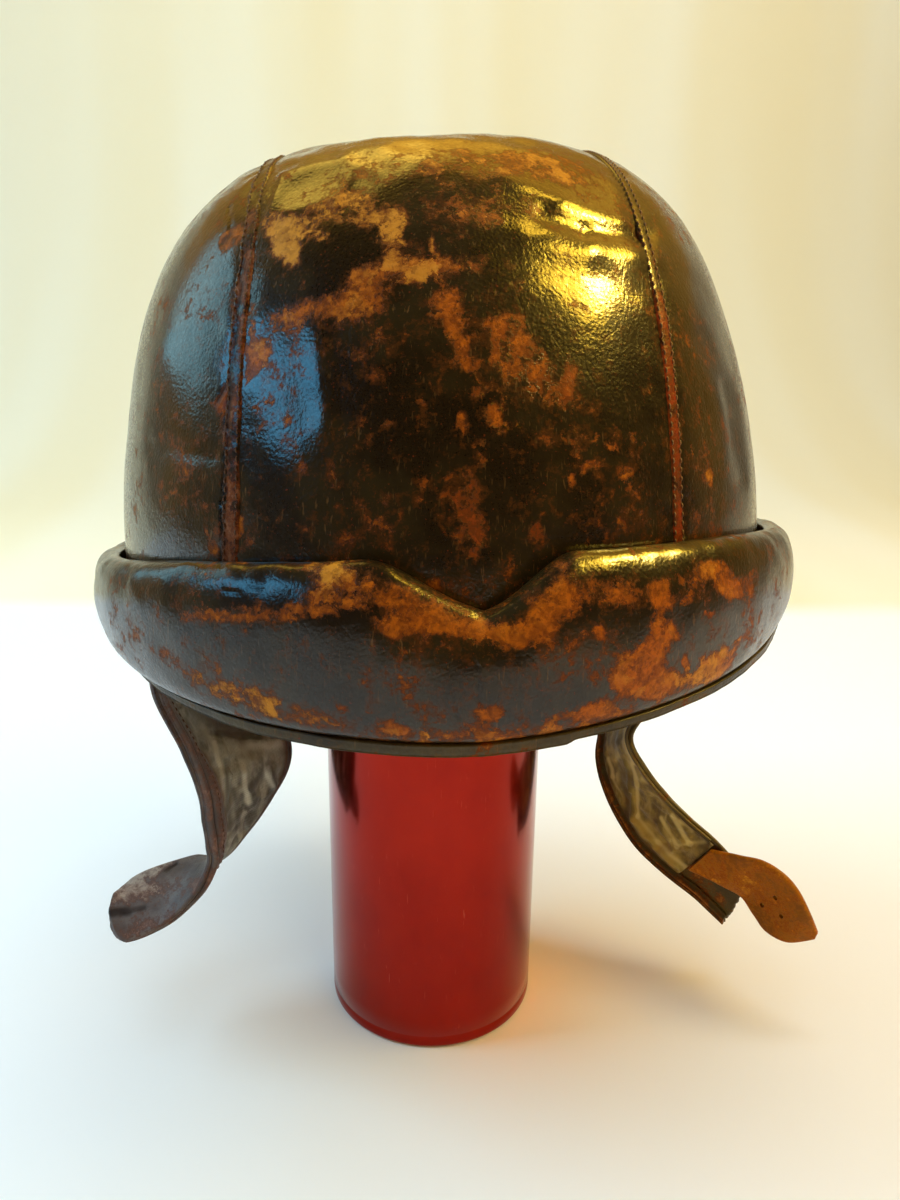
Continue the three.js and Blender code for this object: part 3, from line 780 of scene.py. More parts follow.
def lining_cloth(name, dark, light, pale):
    """Soiled cotton lining, with a fine weave and soft wrinkles. Its ridges are paler, from the tone mark:
    painted highlight on the ridges, and painted shade in the hollows.
    """
    f = Finish(name, **{"Sheen Weight": 0.15, "Specular IOR Level": 0.3})
    stains = f.noise(70.0, 6.0, 0.62)
    fine = f.noise(600.0, 4.0, 0.6)
    wrinkles = f.noise(1.0, 4.0, 0.55, f.stretched((210, 120, 60), (0.2, 0.5, 0.3)), 0.6)
    weave = f.times(*(f.math("SINE", f.times(f.split(f.places)[axis], 9000.0)) for axis in "YZ"))
    cloth = f.mix(f.band(stains, 0.34, 0.62), dark, light)
    # Painted highlight: the wrinkles' crests, where their bumps are highest, are painted pale.
    cloth = f.mix(f.band(wrinkles, 0.52, 0.70, 0.0, 0.5), cloth, pale)
    # Painted highlight on the creases' ridges, and painted shade in their hollows, from the tone mark.
    cloth = f.mix(f.band(f.mark("tone"), 0.05, 0.9, 0.0, 0.9), cloth, pale)
    cloth = f.mix(f.band(f.mark("tone"), -0.05, -0.9, 0.0, 0.8), cloth, dark)
    cloth = f.mix(f.band(f.mark("worn"), 0.3, 0.9), cloth, (0.14, 0.06, 0.028))
    # Painted shade: the lining is darkened along its edges, where they meet the hems.
    cloth = f.mix(f.mark("crack"), cloth, (0.03, 0.022, 0.014))
    height = f.add(f.times(wrinkles, 2.6), f.times(fine, 0.5), f.times(weave, 0.12))
    return f.finish(cloth, f.band(stains, 0.3, 0.7, 0.62, 0.85), f.bump(height, 0.35, 0.9))


def red_lacquer(name):
    """Transparent red lacquer on bright tinplate, with hair-fine scratches."""
    f = Finish(name, **{"Metallic": 1.0, "Coat Weight": 0.2, "Coat Roughness": 0.05})
    wipe = f.noise(1.0, 5.0, 0.6, f.stretched((70, 70, 45)))
    hairs = f.noise(1.0, 3.0, 0.5, f.stretched((1800, 1800, 130), (0.05, 0.03, 0)))
    specks = f.noise(900.0, 2.0, 0.5)
    paint = f.mix(wipe, (0.225, 0.0050, 0.0014), (0.36, 0.0130, 0.0022))
    paint = f.mix(f.band(hairs, 0.68, 0.78, 0.0, 0.35), paint, (0.62, 0.12, 0.07))
    paint = f.mix(f.band(specks, 0.74, 0.80, 0.0, 0.6), paint, (0.08, 0.004, 0.006))
    rough = f.add(f.band(wipe, 0.3, 0.7, 0.16, 0.24), f.band(hairs, 0.66, 0.8, 0.0, 0.1))
    return f.finish(paint, rough, f.bump(f.add(wipe, f.times(hairs, 0.4)), 0.02, 0.3))


def thread(name, shade):
    f = Finish(name, **{"Specular IOR Level": 0.3})
    twist = f.noise(1500.0, 3.0, 0.6)
    return f.finish(f.mix(twist, DIRT, shade), f.band(twist, 0.3, 0.7, 0.6, 0.85), f.bump(twist, 0.1, 0.6))


def inner_leather(name):
    """The plain, unlacquered inner face."""
    f = Finish(name, **{"Specular IOR Level": 0.25})
    stains, fine = f.noise(38.0, 6.0, 0.6), f.noise(700.0, 4.0, 0.6)
    skin = f.mix(f.band(stains, 0.35, 0.65), (0.045, 0.026, 0.014), (0.12, 0.07, 0.036))
    return f.finish(skin, f.band(fine, 0.3, 0.7, 0.7, 0.9), f.bump(f.add(fine, stains), 0.3, 0.7))


LEATHER = leather("leather_crown", coat=0.95, polish=0.11)
ROLL_LEATHER = leather("leather_roll", coat=0.78, polish=0.15)
STRIP_LEATHER = leather("leather_strip", STRIP_COLOURS, coat=0.6, polish=0.2, grain=1.3)
BINDING_LEATHER = leather("leather_binding", BINDING_COLOURS, coat=0.4, polish=0.3)
# On the flaps, the dark colour for cracks is also painted shade in the hems' grooves and in the slit under
# the left flap's torn end.
FLAP_LEATHER = leather(
    "leather_flap", FLAP_COLOURS, coat=0.12, polish=0.35, grain=0.8, crack_and_shade_colour=(0.024, 0.018, 0.017)
)
RIGHT_FLAP_LEATHER = leather(
    "leather_flap_right", RIGHT_FLAP_COLOURS, coat=0.3, polish=0.3, grain=0.8, crack_and_shade_colour=(0.010, 0.006, 0.002)
)
TAB_LEATHER = leather("leather_tab", TAB_COLOURS, coat=0.1, polish=0.3)
INNER_LEATHER = inner_leather("leather_inner")
LEFT_CLOTH = lining_cloth(
    "lining_cloth_left", (0.060, 0.060, 0.054), (0.31, 0.335, 0.29), (0.52, 0.555, 0.49)
)
RIGHT_CLOTH = lining_cloth(
    "lining_cloth_right", (0.115, 0.075, 0.012), (0.43, 0.305, 0.060), (0.66, 0.53, 0.17)
)
RED_TIN = red_lacquer("red_lacquered_tin")
TAN_THREAD = thread("thread_tan", (0.33, 0.15, 0.055))
DARK_THREAD = thread("thread_dark", (0.16, 0.08, 0.045))


# The crown
# Folds in the panels, as lines in the photograph: how far the leather rises along them, and half their width.
FOLDS = table(
    "px py to_px to_py rise half",
    (540, 213, 586, 230, -0.75, 7),
    (586, 230, 652, 233, -0.85, 7),
    (528, 236, 590, 250, 0.55, 15),
    (590, 252, 652, 256, 0.6, 15),
    (500, 176, 560, 205, 0.45, 9),
    (560, 205, 625, 222, 0.5, 9),
    (470, 200, 530, 224, -0.4, 10),
    (282, 176, 342, 161, 0.6, 5),
    (270, 214, 283, 177, 0.5, 4),
    (292, 188, 332, 178, -0.5, 10),
    (282, 214, 338, 198, 0.6, 5),
    (338, 198, 350, 168, 0.45, 5),
    (346, 160, 372, 172, 0.4, 6),
    (380, 150, 440, 170, 0.35, 10),
    (236, 330, 236, 470, 0.35, 7),
    (318, 330, 322, 425, 0.45, 12),
    (150, 445, 212, 455, -0.4, 9),
    (728, 380, 742, 480, -0.5, 6),
    (640, 340, 655, 520, -0.3, 14),
)
DENTS = table(
    "x z reach depth",
    (-34, 84, 17, 0.9),
    (-2, 66, 22, 0.6),
    (78, 92, 20, 0.8),
    (-80, 70, 20, 0.7),
)
SEAM_DIP = {"depth": 0.38, "width": 3.6}


def crown_relief(points, seam_apart):
    """How far the leather stands off its smooth shape: folds, dents, soft lumps, and the dip at the seams."""
    x, z, front = points[..., 0], points[..., 2], smooth(20, -20, points[..., 1])
    relief = layered(points, (0.45, 33.0, 1), (0.20, 13.0, 2), (0.07, 5.5, 4))
    relief += smooth(112, 138, z) * layered(points, (0.55, 15.0, 19), (0.25, 6.5, 20))
    relief *= smooth(20, 44, z)
    px, py = photo_place(placed(raised(points)))
    px, py = px + 3 * rumple(points, 14.0, 13), py + 3 * rumple(points, 14.0, 14)
    for row in FOLDS:
        apart = line_distance(px, py, row)
        relief += front * row["rise"] * np.exp(-((apart / row["half"]) ** 2))
    for row in DENTS:
        apart = np.hypot(x - row["x"], z - row["z"]) / row["reach"]
        relief -= front * row["depth"] * np.exp(-(apart**2))
    relief -= SEAM_DIP["depth"] * np.exp(-((seam_apart / SEAM_DIP["width"]) ** 2))
    pucker = np.exp(-((seam_apart - 5) / 4.0) ** 2) * rumple(points, 6.0, 5)
    return relief + 0.3 * pucker


def crown_panel(name, outer_base, seam_apart, flip):
    relief = crown_relief(outer_base, seam_apart)
    outer = placed(raised(outer_base + grid_normals(outer_base) * flip * relief[..., None]))
    inner = placed(raised(onto_crown(outer_base, -CROWN["wall"])))
    outer_marks = wear_marks(outer, grid_normals(outer) * flip, CROWN_WEAR)
    make_shell(name, outer, inner, outer_marks, plain_marks(inner), [LEATHER, INNER_LEATHER], "leather")


PANEL_ROWS, MIDDLE_COLUMNS, SIDE_COLUMNS = 250, 92, 76
PANEL_GAP = 0.3


def make_middle_panel():
    along = np.linspace(0, 1, PANEL_ROWS)[:, None]
    across = np.linspace(0, 1, MIDDLE_COLUMNS)[None, :]
    left, right = seam_at(-1, along) + PANEL_GAP / 2, seam_at(1, along) - PANEL_GAP / 2
    x = left + (right - left) * across
    crown_panel("crown_middle_panel", crown_point(x, along + 0 * x), np.minimum(x - left, right - x), -1)


def make_side_panel(side, name):
    along = np.linspace(0, 1, PANEL_ROWS)
    seam = crown_point(seam_at(side, along) + side * PANEL_GAP / 2, along)
    turn_of = np.arctan2(np.abs(seam[:, 0]), -seam[:, 1])
    turn = turn_of[0] + (turn_of[-1] - turn_of[0]) * along
    rim = rim_point(side * turn)
    down = np.linspace(0, 1, SIDE_COLUMNS)[None, :, None]
    outer = onto_crown(seam[:, None] + (rim - seam)[:, None] * down)
    crown_panel(name, outer, np.linalg.norm(outer - outer[:, :1], axis=-1), -side)


# Seam strips and their stitches
STRIP = {"thickness": 0.9, "sunk": 0.66, "foot": 24.0, "rows": 300}
# Where the points across a strip lie, closer at its edges. The stitches run along two of their columns.
STRIP_ACROSS = np.array([0, 0.02, 0.07, 0.15, 0.3, 0.5, 0.7, 0.85, 0.93, 0.98, 1.0])
STITCH_COLUMNS = (3, 7)
# The left strip is torn and curls up at its outer edge; the right one is whole and lies nearly flat.
STRIP_LOOKS = {
    "left": {"width": 4.6, "torn": 1.3, "curl": 0.55, "flat": 0.72, "uneven": 0.30, "thread": DARK_THREAD},
    "right": {"width": 3.4, "torn": 0.25, "curl": 0.15, "flat": 1.0, "uneven": 0.14, "thread": TAN_THREAD},
}
# How worn and how red each strip is, from the foot up, by height over the rim.
STRIP_WEAR = table(
    "z left left_tone right right_tone",
    (20, 0.62, -0.1, 0.66, -1.7),
    (60, 0.52, -0.2, 0.74, -1.9),
    (95, 0.50, -0.4, 0.70, -1.7),
    (112, 0.58, 0.0, 0.30, -0.8),
    (122, 0.40, 0.2, 0.12, -0.5),
    (150, 0.15, 0.2, 0.15, -0.5),
)
STITCH = {"pitch": 2.3, "length": 1.55, "radius": 0.24}


def tubes(paths, radius, sides=6):
    """Round threads along short paths of points (threads x points x 3), thinner at their ends."""
    paths = np.asarray(paths, float)
    count, steps = paths.shape[:2]
    way = unit(np.gradient(paths, axis=1))
    helper = np.where(np.abs(way[..., 2:]) < 0.9, UP, np.array([1.0, 0.0, 0.0]))
    first = unit(np.cross(way, helper))
    second = np.cross(way, first)
    angles = np.linspace(0, 2 * math.pi, sides, endpoint=False)
    taper = np.sqrt(1 - np.linspace(-0.97, 0.97, steps) ** 4)
    ring = first[:, :, None] * np.cos(angles)[:, None] + second[:, :, None] * np.sin(angles)[:, None]
    vertices = paths[:, :, None] + ring * (radius * taper)[:, None, None]
    return vertices, [face for n in range(count) for face in tube_faces(steps, sides, n * steps * sides)]


def make_threads(name, paths, radius, material):
    threads = new_object(name, *tubes(paths, radius), [material])
    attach(threads, "root")


def stitch_paths(line, normals, pitch, length, sink=0.10, rise=0.22):
    """One short arched path for each stitch along a line of points."""
    gaps = np.linalg.norm(np.diff(line, axis=0), axis=1)
    run = np.concatenate([[0], np.cumsum(gaps)])
    middles = np.arange(pitch / 2, run[-1] - pitch / 2, pitch)
    arch = np.linspace(-1, 1, 5)
    at = middles[:, None] + arch * length / 2
    place = np.stack([np.interp(at, run, line[:, k]) for k in range(3)], axis=-1)
    lift = np.stack([np.interp(at, run, normals[:, k]) for k in range(3)], axis=-1)
    height = rise * (1 - arch**2) - sink * arch**2
    return place + lift * height[None, :, None]


def along_at_height(side, end, z):
    """Where a seam comes to a height over the rim, from its front end (0) or its rear end (1)."""
    low, high = 0.0, 0.5
    step = 1 if end == 0 else -1
    for _ in range(HALVINGS):
        middle = (low + high) / 2
        along = np.array(end + step * middle)
        below = crown_point(seam_at(side, along), along)[2] < z
        low, high = (middle, high) if below else (low, middle)
    return end + step * low


def make_seam_strip(side, word):
    look = STRIP_LOOKS[word]
    first, last = (along_at_height(side, end, STRIP["foot"]) for end in (0, 1))
    along = np.linspace(first, last, STRIP["rows"])[:, None]
    across = STRIP_ACROSS[None, :]
    spot = crown_point(seam_at(side, along), along)
    torn = look["torn"] * layered(spot, (0.5, 4.0, 7), (0.35, 1.6, 8))
    from_middle = 2 * across - 1
    spread = from_middle * (look["width"] / 2 + torn * np.where(across > 0.5, 1.0, 0.3))
    base = crown_point(seam_at(side, along) + side * spread, along + 0 * spread)
    normals = grid_normals(base) * -side
    curl = look["curl"] * smooth(0.75, 1.0, across) * (0.5 + rumple(base, 9.0, 9))
    foot = curl - STRIP["sunk"] * look["flat"] + layered(base, (0.16, 12.0, 6), (look["uneven"], 2.8, 15))
    bow = STRIP["thickness"] * look["flat"] * np.sqrt(1 - from_middle**4)
    outer = placed(raised(base + normals * (foot + bow)[..., None]))
    inner = placed(raised(base + normals * (foot - 0.25)[..., None]))
    outward = grid_normals(outer) * -side
    marks = wear_marks(outer, outward, CROWN_WEAR)
    height = np.clip(base[..., 2], STRIP_WEAR[0]["z"], STRIP_WEAR[-1]["z"])
    marks["worn"] = np.clip(read_table(STRIP_WEAR, "z", word, height) + 0.12 * rumple(outer, 6.0, 11), 0, 1)
    marks["tone"] = read_table(STRIP_WEAR, "z", word + "_tone", height) + 0.2 * rumple(outer, 12.0, 12)
    name = "seam_strip_" + word
    make_shell(name, outer, inner, marks, plain_marks(inner, 0.3), [STRIP_LEATHER], "worn_leather")
    paths = [
        stitch_paths(outer[:, column], outward[:, column], STITCH["pitch"], STITCH["length"])
        for column in STITCH_COLUMNS
    ]
    paths = np.concatenate(paths)
    make_threads("seam_stitches_" + word, paths, STITCH["radius"], look["thread"])


# The brow roll and the rim's binding
ROLL_SECTION = table(
    "out up",
    (0.7, 0.0),
    (0.7, 0.45),
    (1.8, 0.65),
    (1.7, 0.92),
    (2.7, 0.985),
    (5.2, 1.0),
    (7.8, 0.96),
    (9.8, 0.85),
    (11.1, 0.64),
    (11.2, 0.38),
    (9.9, 0.13),
    (7.2, 0.0),
)
ROLL_LIP = 2.5
ROLL = table(
    "turn height bulge",
    (0, 46, 1),
    (0.2, 39, 1),
    (0.35, 28.5, 0.95),
    (0.42, 23.5, 0.87),
    (0.5, 18.5, 0.8),
    (0.65, 16, 0.8),
    (1, 17, 0.8),
)
NOTCH = {"depth": 12.5, "x": 2.5, "left_reach": 27, "right_reach": 23, "tip": 1.6}
TURN_CROWDING = 0.45
ROLL_TURNS, ROLL_AROUND, RIM_AROUND = 460, 72, 32
RIM_SECTION = table(
    "out up",
    (-7.2, -0.8),
    (-6.6, -0.3),
    (6.6, -0.3),
    (7.6, -1.1),
    (7.4, -2.4),
    (6.6, -2.9),
    (-6.6, -2.9),
    (-7.2, -2.4),
)


def turns(count):
    even = 2 * math.pi * np.arange(count) / count
    return even - TURN_CROWDING * np.sin(even)


def notch_dip(from_tip):
    reach = np.where(from_tip < 0, NOTCH["left_reach"], NOTCH["right_reach"])
    sharp = NOTCH["tip"] * np.exp(-np.abs(from_tip) / 5.0)
    return NOTCH["depth"] * (1 - smooth(0, 1, np.abs(from_tip) / reach)) + sharp


def closed_curve(rows, count, pinch=0.5):
    """A smooth closed curve through a section's rows: how far out its points lie, and how far up."""
    values = np.array([[row["out"], row["up"]] for row in rows], float)
    total = len(values)
    at = np.arange(count) * total / count
    low = np.floor(at).astype(int)
    s = (at - low)[:, None]
    before, start, end, after = (values[(low + k) % total] for k in (-1, 0, 1, 2))
    leaving, arriving = pinch * (end - before), pinch * (after - start)
    s2, s3 = s**2, s**3
    curve = (2 * s3 - 3 * s2 + 1) * start + (s3 - 2 * s2 + s) * leaving
    curve = curve + (3 * s2 - 2 * s3) * end + (s3 - s2) * arriving
    return curve[None, :, 0], curve[None, :, 1]


def make_brow_roll():
    turn = turns(ROLL_TURNS)[:, None]
    out, up = closed_curve(ROLL_SECTION, ROLL_AROUND)
    share = np.abs(np.arctan2(np.sin(turn), np.cos(turn))) / np.pi
    dip = np.where(np.cos(turn) > 0, notch_dip(rim_point(turn)[..., 0] - NOTCH["x"]), 0)
    height = read_table(ROLL, "turn", "height", share) - dip
    bulge = read_table(ROLL, "turn", "bulge", share)
    grown = np.where(out > ROLL_LIP, ROLL_LIP + (out - ROLL_LIP) * bulge, out)
    base = band_point(turn + 0 * up, up * height, grown)
    free = smooth(2.6, 6.0, grown) * smooth(-0.02, 0.14, up)
    lumps = layered(base, (0.55, 30.0, 21), (0.30, 11.0, 22), (0.10, 4.5, 23))
    gathers = 0.35 * rumple(base * np.array([1.0, 1.0, 0.25]), 5.0, 24) * smooth(0.72, 0.95, up)
    points = placed(raised(base + outward_normals(base) * ((lumps + gathers) * free)[..., None]))
    marks = wear_marks(points, outward_normals(points), ROLL_WEAR)
    lip = smooth(0.9, 1.0, up) * smooth(3.0, 5.0, grown)
    marks["worn"] = np.maximum(marks["worn"], 0.30 * lip)
    faces = quads(ROLL_TURNS, ROLL_AROUND, 0, True, True)
    roll = make_piece("brow_roll", points, faces, [ROLL_LEATHER], "leather", marks)


# The binding is thin and tucked under the roll at the helmet's left.
BINDING_THIN = {"turn": 1.35, "reach": 0.62, "share": 0.62, "tuck": 2.4}
# Its two ends overlap at the brow, right of the middle, with a small step.
BINDING_LAP = {"turn": 0.185, "step": 0.012, "drop": 0.9}


def make_rim_binding():
    turn = turns(ROLL_TURNS)[:, None]
    out, up = (part + 0 * turn for part in closed_curve(RIM_SECTION, RIM_AROUND, 0.35))
    spot = band_point(turn, 0 * turn, 7.0 + 0 * turn)
    wave = layered(spot, (0.30, 16.0, 31), (0.14, 4.0, 32))
    outer_side = smooth(0, 6, out)
    thin = np.exp(-(((turn - 2 * np.pi + BINDING_THIN["turn"]) / BINDING_THIN["reach"]) ** 2))
    up = up * (1 - BINDING_THIN["share"] * thin)
    wrapped = np.arctan2(np.sin(turn), np.cos(turn))
    over, step = BINDING_LAP["turn"], BINDING_LAP["step"]
    lap = smooth(over + step, over - step, wrapped) * smooth(-1.2, -0.2, wrapped)
    up = up - BINDING_LAP["drop"] * lap * smooth(-0.5, -2.0, up) - 0.25 * outer_side * (0.5 + wave)
    out = out - BINDING_THIN["tuck"] * thin * smooth(0, 7, out) + wave * outer_side
    points = placed(raised(band_point(turn + 0 * out, up, out)))
    marks = wear_marks(points, outward_normals(points), ROLL_WEAR)
    marks["worn"] = np.clip(0.16 + 0.12 * marks["worn"] + 0.16 * rumple(points, 18.0, 33), 0, 1)
    faces = quads(ROLL_TURNS, RIM_AROUND, 0, True, True)
    make_piece("rim_binding", points, faces, [BINDING_LEATHER], "leather", marks)


# The ear flaps
FLAP_ROOTS = {
    "heights": [30, 13, -4],
    "wall_gap": 0.8,
    "left": {"front": 0.355, "rear": 0.655},
    "right": {"front": 0.37, "rear": 0.68},
}
LEFT_FLAP = table(
    "front rear bow",
    ((-94, -40, 148), (-85, 42, 144), 9),
    ((-88, -34, 123), (-69, 32, 119), 6),
    ((-85, -27, 104), (-57, 20, 97), 3),
    ((-85, -22, 88), (-64, 10, 82), 1),
    ((-85, -20, 77), (-76, 1, 69), 0),
    ((-85, -20, 70), (-84, -2, 63), 0),
    ((-89, -24, 61), (-92, -2, 63), 0),
    ((-100, -27, 50), (-104, -6, 62), 0),
    ((-114, -30, 46), (-114, -9, 60), 0),
    ((-121, -28, 50), (-121, -12, 57), 0),
)
RIGHT_FLAP = table(
    "front rear bow",
    ((92, -30, 148), (87, 50, 140), 8),
    ((85, -12, 128), (81, 46, 114), 5),
    ((78, 1, 108), (77, 40, 88), 3),
    ((85, 4, 93), (76, 36, 76), 2),
    ((95, 3, 81), (80, 29, 63), 1),
    ((104, 0, 72), (88, 21, 50), 0),
    ((112, -5, 66), (100, 12, 40), 0),
    ((118, -10, 61), (112, 4, 33), 0),
    ((125, -13, 53), (125, -2, 22), 0),
)
LEFT_END_CUP = 4.5  # the torn end's two edges rise over its middle, in millimetres
FLAP = {"leather": 2.0, "lining": 1.1, "rows": 210}
ROW_LENGTH = 15.0  # about how far apart a flap's rows are, in millimetres
LINING_LAP = 0.6
# Creases of the linings, as lines in the photograph: how far they rise, how pale they are, half their width.
# Pale is painted highlight where positive and painted shade where negative.
LINING_FOLDS = table(
    "px py to_px to_py rise pale half",
    (627, 742, 637, 785, 1.0, 1.0, 1.8),
    (637, 785, 638, 816, 1.0, 0.9, 1.8),
    (638, 816, 658, 843, 0.8, 0.5, 2.0),
    (658, 843, 700, 880, 0.9, 0.7, 2.0),
    (609, 758, 613, 776, 0.5, 0.8, 1.4),
    (613, 776, 624, 800, 0.5, 0.7, 1.4),
    (643, 779, 664, 787, 0.6, 0.8, 2.2),
    (664, 787, 693, 830, 0.6, 0.6, 2.4),
    (672, 815, 690, 845, 0.8, 1.0, 1.8),
    (661, 818, 677, 846, 0.7, 0.8, 1.8),
    (680, 822, 708, 831, 0.6, 0.7, 1.8),
    (676, 846, 706, 842, 0.5, 0.5, 1.8),
    (622, 762, 631, 812, -0.9, -1.0, 4.5),
    (646, 812, 668, 838, -0.6, -0.6, 3.4),
    (684, 850, 704, 868, -0.5, -0.4, 3.0),
    # Painted shade across the top of the left lining, below the rim.
    (206, 712, 254, 728, -0.4, -1.0, 10),
    (212, 733, 262, 739, -0.9, -0.9, 2.2),
    (214, 742, 223, 776, 0.9, 1.0, 1.8),
    (223, 776, 219, 820, 0.9, 0.9, 1.8),
    (226, 762, 229, 830, -0.5, -0.8, 3.0),
    (252, 744, 286, 744, 0.5, 0.9, 5),
    (243, 762, 248, 802, 0.9, 0.8, 3.0),
    (252, 788, 266, 764, -0.8, -0.8, 2.4),
    (262, 766, 272, 786, 0.7, 0.7, 2.6),
    (234, 790, 240, 830, -0.6, -0.7, 2.4),
)
HEM_WIDTH = {"left_front": 10.5, "left_rear": 2.6, "right_front": 2.0, "right_rear": 6.0}
TAB_START = {"along": 9.3, "upper": 0.06, "lower": 0.6}
TAB = table(
    "upper lower",
    ((119.6, -16.5, 64.6), (116.0, -8.0, 46.2)),
    ((126.3, -22.3, 65.7), (124.4, -10.9, 42.2)),
    ((132.3, -27.4, 63.5), (129.0, -15.7, 36.5)),
    ((137.2, -31.3, 58.5), (132.3, -20.9, 32.7)),
    ((141.2, -34.1, 50.6), (137.3, -27.4, 32.9)),
    ((145.2, -33.7, 42.0), (145.2, -33.0, 38.6)),
)
TAB_THICKNESS, TAB_ROWS, TAB_ROW_LENGTH = 2.4, 150, 9.0
TAB_HOLES = table(
    "along across radius",
    (3.35, 0.40, 0.95),
    (3.0, 0.70, 0.95),
    (4.1, 0.55, 0.85),
)


def rounded(to_edge, half):
    """How far a layer's face stands off its middle, which is less near its round edges."""
    return half * np.sqrt(1 - (1 - np.clip(to_edge / half, 0, 1)) ** 2)


def flap_surface(side, along, across):
    """A flap's outer face. Along counts its rows from the root down; across runs from front to rear edge."""
    along, across = np.broadcast_arrays(along, across)
    flat = across.ravel()
    root = FLAP_ROOTS["left" if side < 0 else "right"]
    turn = side * np.pi * (root["front"] + (root["rear"] - root["front"]) * flat)
    wall = np.full(flat.shape, -CROWN["wall"] - FLAP_ROOTS["wall_gap"])
    rows = [placed(raised(band_point(turn, 0 * flat + z, wall))) for z in FLAP_ROOTS["heights"]]
    for row in LEFT_FLAP if side < 0 else RIGHT_FLAP:
        front, rear = np.array(row["front"]), np.array(row["rear"])
        point = front + (rear - front) * flat[:, None]
        point[:, 0] += side * row["bow"] * 4 * flat * (1 - flat)
        rows.append(point)
    points = through_points(np.array(rows, float), along.ravel()).reshape(*along.shape, 3)
    sway = layered(points, (0.9, 26.0, 41 + side), (0.35, 10.0, 43 + side)) * smooth(3.2, 5.0, along)
    if side < 0:
        sway = sway + LEFT_END_CUP * smooth(9.6, 12.0, along) * ((2 * across - 1) ** 2 - 0.3)
    return points, sway


def flap_frame(side, along, across):
    """The face as it hangs, and the directions from it towards the head."""
    points, sway = flap_surface(side, along, across)
    step = 0.02
    down = flap_surface(side, along + step, across)[0] - flap_surface(side, along - step, across)[0]
    back = flap_surface(side, along, across + step)[0] - flap_surface(side, along, across - step)[0]
    inwards = unit(np.cross(down, back)) * -side
    return points + inwards * sway[..., None], inwards


def flap_end(side):
    return len(FLAP_ROOTS["heights"]) + len(LEFT_FLAP if side < 0 else RIGHT_FLAP) - 1


def flap_width(side, along):
    ends = flap_surface(side, along[..., None], np.array([0.0, 1.0]))[0]
    return np.linalg.norm(ends[..., 0, :] - ends[..., 1, :], axis=-1)


def ragged_end(across, seed, depth, rounding):
    """How much of the last rows is torn off, across the flap."""
    spots = np.stack([across * 24, 0 * across + seed, 0 * across], axis=-1)
    teeth = layered(spots, (0.4, 6.0, seed), (0.26, 1.8, seed + 1))
    return depth * (0.4 + teeth) + rounding * np.abs(2 * across - 1) ** 3


def flap_layer(
    name, side, rows, edges, depth, thickness, material, slot, marks_of,
    columns=40, seed=50, wrinkle=0.0, tear=0.0, rounding=0.0, profile=None,
):
    """One layer of a flap, from row to row, and from edge to edge.

    Edges are distances in millimetres from the front edge, or from the rear edge if they are negative. A
    second edge of 0 is the rear edge.
    """
    (start, end), (from_edge, to_edge) = rows, edges
    share = np.concatenate([np.linspace(0, 1, FLAP["rows"])[:-1], [0.9975, 0.999, 1.0]])
    columns_at = np.concatenate([[0, 0.006, 0.018], np.linspace(0.035, 0.965, columns), [0.982, 0.994, 1.0]])
    rows_along = start + (end - start) * share
    width = flap_width(side, rows_along)
    near = (from_edge if from_edge >= 0 else width + from_edge) / width
    far = (to_edge if to_edge > 0 else width + to_edge) / width
    across = near[:, None] + (far - near)[:, None] * columns_at
    torn = ragged_end(across[-1], seed, tear, rounding) if tear else 0 * columns_at
    along = rows_along[:, None] - share[:, None] ** 6 * torn
    points, inwards = flap_frame(side, along, across)
    to_side = np.minimum(columns_at, 1 - columns_at) * ((far - near) * width)[:, None]
    to_end = (1 - share)[:, None] * (end - start) * ROW_LENGTH
    half = thickness / 2
    swell = rounded(np.minimum(to_side, to_end), half)
    rise = profile(columns_at) if profile else 0.0
    if wrinkle:
        folds = wrinkle * (np.abs(rumple(points * np.array([1, 0.6, 1]), 9.0, seed + 2)) - 0.35)
        folds = folds + 0.5 * wrinkle * rumple(points, 4.5, seed + 3) + lining_folds(points)[0]
        rise = rise + folds * smooth(0, 2.5, to_side)
    inner = points + inwards * (depth + half + swell + rise)[..., None]
    outer = points + inwards * (depth + half - swell)[..., None]
    marks = marks_of(inner, inwards, columns_at), marks_of(outer, -inwards, columns_at)
    return make_shell(name, inner, outer, *marks, [material], slot), inner, inwards


def lining_folds(points):
    """How far the lining's creases rise, and how pale they are: painted highlight on their ridges, painted
    shade in their hollows.
    """
    x, y = photo_place(points)
    x, y = x + 1.6 * rumple(points, 5.0, 65), y + 1.6 * rumple(points, 5.0, 66)
    rise, pale = np.zeros(x.shape), np.zeros(x.shape)
    for row in LINING_FOLDS:
        near = np.exp(-((line_distance(x, y, row) / (1.35 * row["half"])) ** 2))
        rise += row["rise"] * near
        pale += row["pale"] * near
    return rise, pale


def flap_leather_marks(points, normals, _columns):
    marks = wear_marks(points, normals, FLAP_WEAR)
    marks["worn"] = np.clip(marks["worn"] + 0.14 * rumple(points, 12.0, 61) + 0.04, 0, 1)
    return marks


def lining_marks(points, _normals, columns):
    dirty = 0.25 + 0.35 * rumple(points, 14.0, 62)
    edge = np.exp(-((columns / 0.06) ** 2)) + np.exp(-(((1 - columns) / 0.06) ** 2))
    # The tone mark carries the creases' painted highlight and painted shade.
    pale = lining_folds(points)[1]
    # Painted shade along the lining's front and rear edges, where they meet the hems; the brown there is
    # soil.
    return {"worn": np.clip(dirty + 0.4 * edge, 0, 1), "tone": pale, "crack": 0.4 * edge + 0 * dirty}


